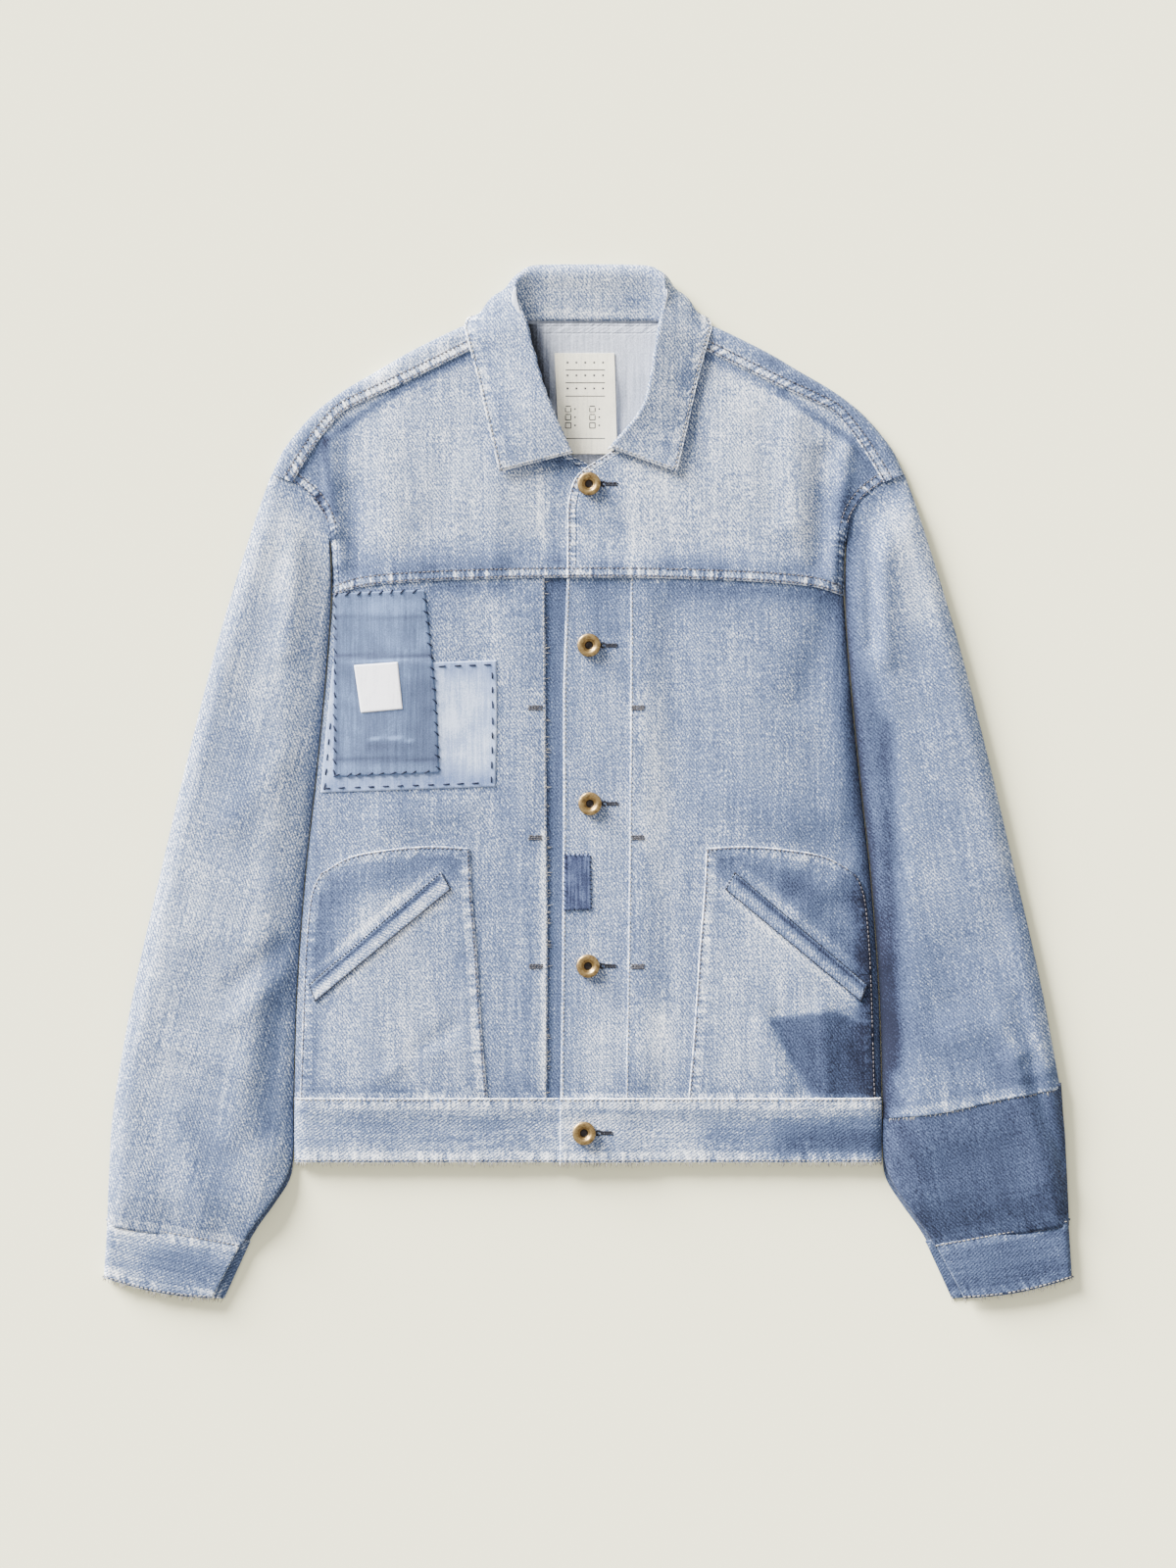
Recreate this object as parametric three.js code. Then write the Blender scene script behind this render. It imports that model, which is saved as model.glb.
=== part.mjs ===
// A patched denim work jacket laid on its back on a table, buttoned, its sleeves drawn down beside it.
// Millimetres. +Z is up, +Y runs from hem to collar, +X is towards the wearer's left sleeve.
// Each cloth piece is one wall of its own: a middle surface with half the cloth's thickness either side.
import * as THREE from "three";

// Cloth
const denim = 1.2; // one layer
const doubled = 1.8; // turned and pressed: waistband and cuffs
const collarCloth = 1.6;
const patchCloth = 1.0;
const labelCloth = 0.6;
const seamGap = 0.3;
const edgeGap = 0.5; // across a seam in the flat, so that 0.3 mm stays where the cloth tilts or curls
const foldGap = 0.45; // between the height where a fold's layers meet and each one's end

// Heights of the middle surfaces over the table
const backZ = denim / 2;
const frontZ = 5.6;
const lapLift = denim + 0.4; // a layer that laps over another
const onDenim = denim / 2 + seamGap; // from a panel's middle to the underside of what lies on it
const foldReach = (frontZ - backZ) / 2 + denim / 2; // from a fold's outer edge to where the cloth lies flat
const neckLift = 2.2; // the back neck lies on the collar folded under it

// Body, half widths and levels
const hemY = -278.5;
const waistY = -231;
const armpitY = 184;
const pleatX = 31; // folded edges of the two front pleats
const pleatDepth = 5; // how far a front band runs in under its pleat
const pleatEase = 24; // where the lapped front has come down again
const bandEdge = [[-231, -20.5], [-93, -18.7], [-10, -18.2], [70, -18], [150, -15.4]]; // left front
const bandUnder = 18; // edge of the right front, below the left one
const buttonSpots = [[0.7, 218.5], [0.7, 100.4], [1.4, -15.5], [0, -134.3], [-2.9, -256.5]];
const buttonRadius = 8.5;
const buttonRise = 3.8;

// Outlines seen from above, for the wearer's left half
const sideFold = [[-278.5, 215.5], [-231, 215.5], [-150, 213], [-68, 207], [0, 199.5], [70, 192.5],
  [136, 187.5], [165, 188.2], [184, 190]];
const chestSeam = [[-40, 150], [31, 149.8], [72, 149], [115, 147.4], [144, 145.6], [160, 144], [172, 141.8],
  [185, 137]];
const shoulderFold = [[66, 344], [88, 336], [129, 317], [154, 302.4], [178.6, 288], [198, 273.6], [212, 259],
  [224, 243], [232, 226]];
const shoulderSeam = [[66, 327], [88, 316], [115, 302.4], [144, 288.3], [165, 279], [180, 271],
  [194.4, 254.5], [207, 236], [216.5, 220]];
const armholeFront = [[192.6, 194], [196, 200.5], [202, 208.5], [209, 214.5], [216.5, 220]]; // to that seam
const neckline = [[14, 240.5], [36, 256], [49, 277], [59, 300], [64, 316], [66, 327]];
const sleeveOuter = [[-319.5, 352.4], [-237, 347.5], [-151, 332.6], [-65, 313], [21.6, 292.5], [108, 270],
  [194, 243.5], [226, 232.6]];
const sleeveInner = [[-280, 216.9], [-231, 216.9], [-150, 214.5], [-68, 208.5], [0, 201.1], [70, 194.4],
  [136, 189.7], [188, 191.2]];
const ventUpper = [[221, -289], [233, -309], [245, -325], [254.2, -336.5]]; // slit edge, upper layer
const ventUnder = [[217.5, -290], [228, -308], [239.5, -324], [248, -334.5]]; // and under layer
const darkSeam = [[219, -246.5], [259, -242], [302, -232.5], [346.5, -224.5]]; // top of the lower sleeve

// A smooth line through pairs of [at, value]
function through(pairs) {
  const line = new THREE.SplineCurve(pairs.map((pair) => new THREE.Vector2(...pair)));
  const dots = line.getPoints(pairs.length * 12);
  return (at) => {
    let k = 1;
    while (k < dots.length - 1 && dots[k].x < at) k += 1;
    const [a, b] = [dots[k - 1], dots[k]];
    return a.y + ((b.y - a.y) * (at - a.x)) / (b.x - a.x);
  };
}

// Evenly spaced points along a smooth line
function along(points, count) {
  const line = new THREE.SplineCurve(points.map((point) => new THREE.Vector2(...point)));
  return line.getSpacedPoints(count).map((point) => [point.x, point.y]);
}

function levels(from, to, count) {
  return Array.from({ length: count + 1 }, (_, k) => from + ((to - from) * k) / count);
}

function ease(from, to, at) {
  return THREE.MathUtils.smoothstep(at, from, to);
}

const mirror = (points) => points.map(([x, ...rest]) => [-x, ...rest]);
const side = through(sideFold);
const chest = through(chestSeam);
const outer = through(sleeveOuter);
const inner = through(sleeveInner);
const freeEdge = through(bandEdge);

// Middle surface between four edges given as points: rows run from bottom to top, columns from left to right
function patch(bottom, top, left, right) {
  const across = fractions(bottom, top);
  const up = fractions(left, right);
  const last = bottom.length - 1;
  return up.map((v, j) => across.map((u, i) => [0, 1].map((axis) => {
    const corners = (1 - u) * (1 - v) * bottom[0][axis] + u * (1 - v) * bottom[last][axis]
      + (1 - u) * v * top[0][axis] + u * v * top[last][axis];
    const rise = (1 - v) * bottom[i][axis] + v * top[i][axis];
    return rise + (1 - u) * left[j][axis] + u * right[j][axis] - corners;
  })));
}

// How far along each point of two facing edges lies, from 0 to 1
function fractions(one, two) {
  const run = (points) => {
    const sums = [0];
    for (let k = 1; k < points.length; k += 1) {
      sums.push(sums[k - 1] + Math.hypot(points[k][0] - points[k - 1][0], points[k][1] - points[k - 1][1]));
    }
    return sums.map((sum) => sum / sums[sums.length - 1]);
  };
  const [a, b] = [run(one), run(two)];
  return a.map((value, k) => (value + b[k]) / 2);
}

// Unit vector square to a line of points at its k-th point, on the side where towards lies
function square(points, k, towards) {
  const [a, b] = [points[Math.max(k - 1, 0)], points[Math.min(k + 1, points.length - 1)]];
  const length = Math.hypot(b[0] - a[0], b[1] - a[1]);
  const normal = [(a[1] - b[1]) / length, (b[0] - a[0]) / length];
  const facing = normal[0] * (towards[0] - points[k][0]) + normal[1] * (towards[1] - points[k][1]);
  return facing < 0 ? [-normal[0], -normal[1]] : normal;
}

// Draw every edge of a patch in by half of the gap that a seam keeps
function inset(grid) {
  const result = grid.map((row) => row.map((point) => [...point]));
  const rows = grid.length - 1;
  const columns = grid[0].length - 1;
  const draw = (j, i, line, k, towards) => {
    const normal = square(line, k, towards);
    result[j][i][0] += (normal[0] * edgeGap) / 2;
    result[j][i][1] += (normal[1] * edgeGap) / 2;
  };
  for (const [i, next] of [[0, 1], [columns, columns - 1]]) {
    const line = grid.map((row) => row[i]);
    line.forEach((_, j) => draw(j, i, line, j, grid[j][next]));
  }
  for (const [j, next] of [[0, 1], [rows, rows - 1]]) {
    grid[j].forEach((_, i) => draw(j, i, grid[j], i, grid[next][i]));
  }
  return result;
}

function raise(grid, height) {
  return grid.map((row) => row.map(([x, y]) => [x, y, height(x, y)]));
}

// Turn the right edge through a quarter circle to the height where a fold's two layers meet
function curl(grid, firstRow, lastRow) {
  const line = grid.map((row) => row[row.length - 1]);
  return grid.map((row, j) => {
    const [x, y, z] = line[j];
    if (j < firstRow || j > lastRow) return [...row, null, null, null];
    const inward = square(line, j, row[row.length - 2]);
    const radius = (frontZ + backZ) / 2 - z;
    const end = Math.acos(foldGap / Math.abs(radius));
    const turned = [end / 3, (end * 2) / 3, end].map((angle) => {
      const reach = Math.abs(radius) * Math.sin(angle);
      return [x - inward[0] * reach, y - inward[1] * reach, z + radius * (1 - Math.cos(angle))];
    });
    return [...row, ...turned];
  });
}

const opposite = (point) => point && [-point[0], point[1], point[2]];
const flip = (grid) => grid.map((row) => row.map(opposite).reverse());
const backwards = (grid) => grid.map((row) => [...row].reverse());

// A closed wall of cloth about a middle surface. Cells with a missing corner are left out
function wall(grid, thickness) {
  const cells = [];
  const numbers = new Map();
  const number = (j, i) => {
    const key = `${j},${i}`;
    if (!numbers.has(key)) numbers.set(key, { at: numbers.size, point: new THREE.Vector3(...grid[j][i]) });
    return numbers.get(key).at;
  };
  for (let j = 0; j < grid.length - 1; j += 1) {
    for (let i = 0; i < grid[0].length - 1; i += 1) {
      const corners = [[j, i], [j, i + 1], [j + 1, i + 1], [j + 1, i]];
      const whole = corners.every(([row, column]) => grid[row][column]);
      if (whole) cells.push(corners.map((pair) => number(...pair)));
    }
  }
  const points = [...numbers.values()].map((entry) => entry.point);
  const normals = points.map(() => new THREE.Vector3());
  const edges = new Set();
  for (const [a, b, c, d] of cells) {
    const diagonal = points[c].clone().sub(points[a]);
    const normal = diagonal.cross(points[d].clone().sub(points[b])).normalize();
    [a, b, c, d].forEach((corner) => normals[corner].add(normal));
    [[a, b], [b, c], [c, d], [d, a]].forEach((edge) => edges.add(edge.join()));
  }
  const half = thickness / 2;
  const upper = points.map((point, k) => point.clone().addScaledVector(normals[k].normalize(), half));
  const lower = points.map((point, k) => point.clone().addScaledVector(normals[k], -half));
  const count = points.length;
  const faces = [];
  for (const [a, b, c, d] of cells) {
    faces.push(a, b, c, a, c, d, count + a, count + c, count + b, count + a, count + d, count + c);
  }
  for (const edge of edges) {
    const [a, b] = edge.split(",").map(Number);
    if (!edges.has(`${b},${a}`)) faces.push(count + a, count + b, b, count + a, b, a);
  }
  const geometry = new THREE.BufferGeometry();
  const values = [...upper, ...lower].flatMap((point) => [point.x, point.y, point.z]);
  geometry.setAttribute("position", new THREE.Float32BufferAttribute(values, 3));
  geometry.setIndex(faces);
  return geometry;
}

const colours = {
  lightDenim: 0xa3b4ca, sleeveDenim: 0x9fb0c6, bandDenim: 0x8fa5c4, darkDenim: 0x54709f,
  lightPatch: 0xaec4dc, bluePatch: 0x6482ab, indigoPatch: 0x42608c,
  insideDenim: 0xc3c9d0, labelWhite: 0xeceef0, labelCream: 0xe2dfd8,
  brass: 0xa9763c,
};
const group = new THREE.Group();

function add(name, geometry, colour, metalness = 0) {
  const roughness = metalness > 0 ? 0.4 : 0.9;
  const material = new THREE.MeshStandardMaterial({ color: colours[colour], roughness, metalness });
  const mesh = new THREE.Mesh(geometry, material);
  mesh.name = name;
  group.add(mesh);
}

// Soft troughs pressed into the upper layer: a line from one point to another, its half width and its depth
function pressed(troughs) {
  return (x, y) => troughs.reduce((sum, [x0, y0, x1, y1, spread, depth]) => {
    const [dx, dy] = [x1 - x0, y1 - y0];
    const t = THREE.MathUtils.clamp(((x - x0) * dx + (y - y0) * dy) / (dx * dx + dy * dy), 0, 1);
    const distance = Math.hypot(x - x0 - t * dx, y - y0 - t * dy);
    return sum - depth * Math.exp(-((distance / spread) ** 2));
  }, 0);
}

// A line moved sideways, to the side where a point lies
function shift(points, amount, towards) {
  return points.map((point, k) => {
    const normal = square(points, k, towards);
    return [point[0] + normal[0] * amount, point[1] + normal[1] * amount];
  });
}

const heart = [60, 100];
const shoulderRun = 7;
const shoulderTop = shift(along(shoulderFold, shoulderRun), foldReach, heart);
const seamTop = shift(along(shoulderSeam, shoulderRun), -edgeGap / 2, heart);
const sideRows = levels(waistY, armpitY, 6).map((y) => [side(y) - foldReach, y]);
const armholeEdge = [...armholeFront, [223, 222], shoulderTop[shoulderRun]];
const sleeveTip = [armholeEdge[6][0] + 0.5, armholeEdge[6][1]]; // a little out, as both folds meet there
const sleeveHead = [...armholeEdge.slice(0, 6), sleeveTip];
const neckColumns = [-50, -25, 0, 25, 50].map((x) => [x, 336.9]);

// Back: flat on the table, turned up at the side folds, and brought over both shoulders to the front seams
function makeBack() {
  const top = [...mirror(shoulderTop).reverse(), ...neckColumns, ...shoulderTop];
  const bottom = levels(-1, 1, top.length - 1).map((u) => [u * sideRows[0][0], waistY]);
  const right = [...sideRows, ...armholeEdge];
  const lifted = (x, y) => backZ + neckLift * (1 - ease(94, 128, Math.abs(x))) * ease(272, 304, y);
  let grid = raise(inset(patch(bottom, top, mirror(right), right)), lifted);
  const flatRows = grid.length;
  const edge = grid[flatRows - 1];
  const seams = [...mirror(seamTop).reverse(), ...neckColumns, ...seamTop];
  const worn = (i) => i > shoulderRun && i < edge.length - 1 - shoulderRun;
  const turn = [45, 90, 135, 180].map(THREE.MathUtils.degToRad);
  const over = turn.map((angle) => edge.map(([x, y, z], i) => {
    if (worn(i)) return null;
    const half = i <= shoulderRun ? edge.slice(0, shoulderRun + 1) : edge.slice(-shoulderRun - 1);
    const inward = square(half, i <= shoulderRun ? i : i - edge.length + shoulderRun + 1, [0, 100]);
    const radius = (frontZ - z) / 2;
    const reach = radius * Math.sin(angle);
    return [x - inward[0] * reach, y - inward[1] * reach, z + radius * (1 - Math.cos(angle))];
  }));
  over.push(seams.map(([x, y], i) => (worn(i) ? null : [x, y, frontZ])));
  grid = curl(grid, 0, sideRows.length - 1);
  grid = backwards(curl(backwards(grid), 0, sideRows.length - 1));
  return [...grid, ...over.map((row) => [null, null, null, ...row, null, null, null])];
}
add("back", wall(makeBack(), denim), "lightDenim");

// Front yokes, from the free edge and the neck to the side fold, the armhole and the shoulder seam
function makeYoke(freeSide, height) {
  const folds = levels(chest(185), armpitY, 4).map((y) => [side(y) - foldReach, y]);
  const right = [...folds, ...armholeFront];
  const left = [...freeSide, ...neckline];
  const columns = [0, 0.13, 0.26, 0.4, 0.55, 0.7, 0.85, 1];
  const across = columns.map((u) => THREE.MathUtils.lerp(left[0][0], right[0][0], u));
  const bottom = across.map((x) => [x, chest(x)]);
  const top = [...along(shoulderSeam, columns.length - 1)];
  return curl(raise(inset(patch(bottom, top, left, right)), height), 0, folds.length - 1);
}
const yokePress = pressed([[188, 196, 196, 246, 12, 1.2], [150, 160, 182, 196, 14, 1]]);
const leftYokeFree = [[-15.4, 150], [-15, 185], [-14.6, 205], [-8, 225]];
const rightYokeFree = [[-18, 150], [-18, 185], [-18, 212], [-18, 232]];
const leftYokeHeight = (x, y) => frontZ + lapLift * (1 - ease(40, 70, x)) + yokePress(x, y);
add("yoke_left", wall(makeYoke(leftYokeFree, leftYokeHeight), denim), "lightDenim");
const rightYoke = makeYoke(rightYokeFree, (x, y) => frontZ + yokePress(x, y));
add("yoke_right", wall(flip(rightYoke), denim), "lightDenim");

// Front panels, from the folded pleat edge to the side fold. The pleat laps over the band beside it
function makeFront(lift, press) {
  const topY = chest(185);
  const right = levels(waistY, topY, 9).map((y) => [side(y) - foldReach, y]);
  const left = levels(waistY, chest(pleatX), 9).map((y) => [pleatX, y]);
  const lapX = pleatX + pleatDepth + 4;
  const columns = (end) => [pleatX, lapX, lapX + pleatEase, ...levels(lapX + pleatEase, end, 4).slice(1)];
  const bottom = columns(right[0][0]).map((x) => [x, waistY]);
  const top = columns(right[right.length - 1][0]).map((x) => [x, chest(x)]);
  const eased = (x) => 1 - THREE.MathUtils.clamp((x - lapX) / pleatEase, 0, 1);
  const height = (x, y) => frontZ + lift * eased(x) + press(x, y);
  return curl(raise(inset(patch(bottom, top, left, right)), height), 0, right.length - 1);
}
const armpitPress = pressed([[186, 128, 168, 66, 13, 1.2]]);
add("front_left", wall(makeFront(2 * lapLift, armpitPress), denim), "lightDenim");
add("front_right", wall(flip(makeFront(lapLift, () => 0)), denim), "lightDenim");

// A flat piece between a left and a right edge, each a list of points from the bottom up
function flatPiece(left, right, columns, height) {
  const across = (j) => levels(0, 1, columns).map((u) => [0, 1].map((axis) => {
    return THREE.MathUtils.lerp(left[j][axis], right[j][axis], u);
  }));
  return raise(inset(patch(across(0), across(left.length - 1), left, right)), height);
}

// Front bands that carry the buttonholes and the buttons
const bandRows = levels(waistY, 149.8, 6);
const bandReach = pleatX + pleatDepth;
const leftBand = flatPiece(
  bandRows.map((y) => [freeEdge(y), y]), bandRows.map((y) => [bandReach, y]), 2, () => frontZ + lapLift);
const rightBand = flatPiece(
  bandRows.map((y) => [-bandReach, y]), bandRows.map((y) => [bandUnder, y]), 2, () => frontZ);
add("band_left", wall(leftBand, denim), "bandDenim");
add("band_right", wall(rightBand, denim), "bandDenim");

// Waistband: one back length and two front ends that lap at the middle
const waistZ = doubled / 2;
const waistFrontZ = frontZ + (doubled - denim) / 2;
const waistLap = doubled + seamGap;

function makeWaist(columns, height) {
  const rows = [hemY, (hemY + waistY) / 2, waistY];
  const grid = inset(rows.map((y) => columns.map((x) => [x, y])));
  return raise(grid, height);
}
const waistReach = side(waistY) - foldReach;
const backWaist = makeWaist(levels(-waistReach, waistReach, 6), () => waistZ);
const frontColumns = (start) => [start, 22, 50, 104, 158, waistReach];
const leftWaist = makeWaist(frontColumns(-20.8), (x) => waistFrontZ + waistLap * (1 - ease(22, 50, x)));
const rightWaist = makeWaist(frontColumns(-bandUnder), () => waistFrontZ);
add("waistband_back", wall(backwards(curl(backwards(curl(backWaist, 0, 2)), 0, 2)), doubled), "lightDenim");
add("waistband_left", wall(curl(leftWaist, 0, 2), doubled), "lightDenim");
add("waistband_right", wall(flip(curl(rightWaist, 0, 2)), doubled), "lightDenim");

// Sleeves in two layers, an upper and an under one, sewn along both folds and open at the slit by the cuff
const foldIn = (y) => [inner(y) + foldReach, y];
const foldOut = (y) => [outer(y) - foldReach, y];
const cuffOuter = -319.5;
const slitTop = -280;
const sleevePress = pressed([
  [204, 176, 214, 70, 15, 1.3], [236, 196, 246, 120, 16, 1], [300, -120, 324, -40, 20, 1.2],
  [228, -236, 300, -190, 17, 1.3], [250, -60, 282, 10, 22, 1.1],
]);

function makeSleeve(innerEdge, outerEdge, bottom, top, height, curlFrom, curlTo) {
  const grid = raise(inset(patch(bottom, top, innerEdge, outerEdge)), height);
  const turned = curl(grid, 0, outerEdge.length - 1);
  return backwards(curl(backwards(turned), curlFrom, curlTo));
}
function straight(from, to, count) {
  return levels(0, 1, count).map((t) => [0, 1].map((axis) => THREE.MathUtils.lerp(from[axis], to[axis], t)));
}
function wholeSleeve(slit, height) {
  const rise = levels(slitTop, 180, 12).map(foldIn);
  const innerEdge = [...slit].reverse().concat(rise, [armholeEdge[0]]);
  const outerEdge = [...levels(cuffOuter, 222, innerEdge.length - 2).map(foldOut), sleeveTip];
  const bottom = straight(innerEdge[0], outerEdge[0], 6);
  return makeSleeve(innerEdge, outerEdge, bottom, sleeveHead, height, slit.length, innerEdge.length - 2);
}
const upperHeight = (x, y) => frontZ + sleevePress(x, y);
const darkInner = -246.5;
const darkOuter = -224.5;
const darkLine = [foldIn(darkInner), ...darkSeam.slice(1, 3), foldOut(darkOuter)];
const darkColumns = along(darkLine, 6);

function leftSleeveUpper() {
  const innerEdge = [...levels(darkInner, 180, 11).map(foldIn), armholeEdge[0]];
  const outerEdge = [...levels(darkOuter, 222, 11).map(foldOut), sleeveTip];
  return makeSleeve(innerEdge, outerEdge, darkColumns, sleeveHead, upperHeight, 0, 11);
}
function leftSleeveLower() {
  const innerEdge = [...ventUpper].reverse().concat([foldIn(slitTop), foldIn(darkInner)]);
  const outerEdge = levels(cuffOuter, darkOuter, 5).map(foldOut);
  const foot = straight(innerEdge[0], outerEdge[0], 6);
  return makeSleeve(innerEdge, outerEdge, foot, darkColumns, upperHeight, 4, 5);
}
add("sleeve_left_upper", wall(leftSleeveUpper(), denim), "sleeveDenim");
add("sleeve_left_lower", wall(leftSleeveLower(), denim), "darkDenim");
add("sleeve_left_under", wall(wholeSleeve(ventUnder, () => backZ), denim), "sleeveDenim");
add("sleeve_right_upper", wall(flip(wholeSleeve(ventUpper, upperHeight)), denim), "sleeveDenim");
add("sleeve_right_under", wall(flip(wholeSleeve(ventUnder, () => backZ)), denim), "sleeveDenim");

// Cuffs: one doubled band each, from the front end over the outer fold to the end below it
function makeCuff() {
  const [low, high] = [waistZ, waistFrontZ];
  const seam = [[254.4, -338.2], [352.4 - foldReach, -320]];
  const foot = [[275.8, -378.2], [355.2 - foldReach, -363.2]];
  const under = [[247.6, -336.4], [267.2, -379]];
  const bow = (t) => -3.2 * Math.sin(Math.PI * t);
  const span = (from, to, t, z, drop) => {
    return [THREE.MathUtils.lerp(from[0], to[0], t), THREE.MathUtils.lerp(from[1], to[1], t) + drop, z];
  };
  const rows = levels(0, 1, 4).map((t) => [
    span(seam[0], seam[1], t, high, -seamGap), span(foot[0], foot[1], t, high, bow(t)),
  ]);
  const middle = (low + high) / 2;
  const radius = (high - low) / 2;
  for (const angle of [30, 60, 90, 120, 150].map(THREE.MathUtils.degToRad)) {
    const reach = radius * Math.sin(angle);
    const z = middle + radius * Math.cos(angle);
    rows.push([[seam[1][0] + reach, seam[1][1] - seamGap, z], [foot[1][0] + reach, foot[1][1], z]]);
  }
  rows.push(...levels(0, 1, 4).map((t) => [
    span(seam[1], under[0], t, low, -seamGap), span(foot[1], under[1], t, low, bow(1 - t)),
  ]));
  const between = (a, b, t) => a.map((value, k) => THREE.MathUtils.lerp(value, b[k], t));
  return rows.map(([a, b]) => levels(0, 1, 3).map((t) => between(a, b, t)));
}
add("cuff_left", wall(makeCuff(), doubled), "darkDenim");
add("cuff_right", wall(flip(makeCuff()), doubled), "lightDenim");

// Patch pockets, with a slanting welt on each
const pocketZ = frontZ + onDenim + denim / 2;
const pocketIn = [[73.4, -231], [77, -190], [80, -145], [82, -116], [85, -80], [85.8, -62], [86.4, -48]];
const pocketOut = [[211.4, -231], [209.8, -188], [208.4, -145], [206.8, -116], [204, -88], [200, -74],
  [195, -66]];
const pocketHead = along([[86.4, -48], [115, -46.6], [144, -48.8], [172.8, -54], [195, -66]], 5);
const pocketFoot = levels(73.4, 211.4, 5).map((x) => [x, -231]);
const makePocket = () => raise(inset(patch(pocketFoot, pocketHead, pocketIn, pocketOut)), () => pocketZ);
const weltZ = pocketZ + onDenim + denim / 2;
const makeWelt = () => flatPiece(
  [[100.5, -78.1], [107.3, -65.5]], [[199.8, -160.3], [204.5, -148]], 3, () => weltZ);
add("pocket_left", wall(makePocket(), denim), "lightDenim");
add("pocket_right", wall(flip(makePocket()), denim), "lightDenim");
add("welt_left", wall(makeWelt(), denim), "bandDenim");
add("welt_right", wall(flip(makeWelt()), denim), "bandDenim");

// Patches and labels
const onPatch = patchCloth + seamGap;
const patchZ = frontZ + onDenim + patchCloth / 2;
const lightPatch = flatPiece(
  [[-196.2, -7.6], [-187.4, 85.3]], [[-67.7, -3.2], [-67, 89.6]], 3, () => patchZ);
const blueRows = [4, 50, 91, 97, 138.5];
const bluePatch = flatPiece(
  blueRows.map((y) => [-187 + (y - 4) * 0.02, y]), blueRows.map((y) => [-108.7 - (y - 4) * 0.08, y + 3]), 3,
  (x, y) => patchZ + onPatch * (1 - ease(94, 97, y)));
const labelZ = patchZ + onPatch + patchCloth / 2 + seamGap + labelCloth / 2;
const chestLabel = flatPiece(
  [[-166.3, 50.8], [-171.4, 86]], [[-135.4, 53.6], [-139, 88.2]], 1, () => labelZ);
const bandPatch = flatPiece(
  [[-17.8, -93.6], [-17.6, -52.4]], [[2.6, -93.2], [2, -52.8]], 1, () => patchZ + lapLift);
const neckLabelTop = backZ + neckLift + onDenim + labelCloth / 2 + 0.3;
const neckLabel = flatPiece(
  [[-21, 241], [-24.5, 315]], [[21.5, 241], [19.4, 315]], 2, (x, y) => neckLabelTop - (315 - y) * 0.005);
add("patch_light", wall(lightPatch, patchCloth), "lightPatch");
add("patch_blue", wall(bluePatch, patchCloth), "bluePatch");
add("patch_band", wall(bandPatch, patchCloth), "indigoPatch");
add("label_chest", wall(chestLabel, labelCloth), "labelWhite");
add("label_neck", wall(neckLabel, labelCloth), "labelCream");

// Collar: seam, roll and outer edge from the middle of the back to the front end. The wearer's right half is
// rolled further in. Two helper heights say how the cloth turns either side of the roll
const collarSeam = [[0, 338.8, 3.2], [30, 338.8, 3.2], [46, 338.9, 3.7], [56.5, 336.8, 5.2], [61, 328, 5.8],
  [62, 318, 6], [58, 303, 6.2], [50, 284.5, 6.4], [37, 261.5, 6.6], [14.6, 244, 6.8]];
const rollLeft = [[0, 379.1, 5], [28, 379.1, 5], [44, 378.1, 6], [52, 372.6, 9], [54.5, 362, 13],
  [52, 338, 16.5], [49, 318, 17], [45, 292, 17], [38, 271, 16.5], [16, 244.5, 12]];
const rollRight = [[0, 379.1, 5], [26, 379.1, 5], [41, 378.1, 6], [48.5, 372.6, 9], [50, 360, 13],
  [45, 338, 16.5], [39.5, 316, 17], [33, 292, 17], [25, 270, 16.5], [12, 240.6, 12]];
const collarEdge = [[0, 324, 0.8], [30, 325, 0.8], [60, 328, 0.8], [84, 338.8, 0.9], [90.6, 340.6, 5.2],
  [89, 330.5, 9.2], [84.5, 310, 9.6], [79.5, 291, 9.8], [74, 266, 9.8], [65, 227, 9.6]];
const standTop = [9, 9, 10, 12.5, 14.5, 15.5, 15.5, 15, 14, 11.5];
const fallTop = [0.85, 0.85, 1.2, 3.5, 9.5, 15.5, 16, 16, 15.5, 11.6];

function makeCollar() {
  const keys = (roll, sign) => roll.map((point, k) => {
    const at = (from, to, t, z) => [
      THREE.MathUtils.lerp(from[0], to[0], t) * sign, THREE.MathUtils.lerp(from[1], to[1], t), z];
    return [
      at(collarSeam[k], collarSeam[k], 0, collarSeam[k][2]),
      at(collarSeam[k], point, 0.5, (collarSeam[k][2] + standTop[k]) / 2),
      at(collarSeam[k], point, 0.86, standTop[k]),
      at(point, point, 0, point[2]),
      at(point, collarEdge[k], 0.14, fallTop[k]),
      at(point, collarEdge[k], 0.55, (fallTop[k] + collarEdge[k][2]) / 2),
      at(collarEdge[k], collarEdge[k], 0, collarEdge[k][2]),
    ];
  });
  const sections = [...keys(rollRight, -1).slice(1).reverse(), ...keys(rollLeft, 1)];
  const lines = sections[0].map((_, v) => {
    const line = new THREE.CatmullRomCurve3(sections.map((section) => new THREE.Vector3(...section[v])));
    return line.getPoints((sections.length - 1) * 2);
  });
  const columns = lines[0].map((_, u) => new THREE.CatmullRomCurve3(lines.map((line) => line[u])));
  const overTable = ({ x, y, z }) => [x, y, Math.max(z, collarCloth / 2)];
  return columns.map((column) => column.getPoints(9).map(overTable));
}
add("collar", wall(makeCollar(), collarCloth), "lightDenim");

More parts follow.
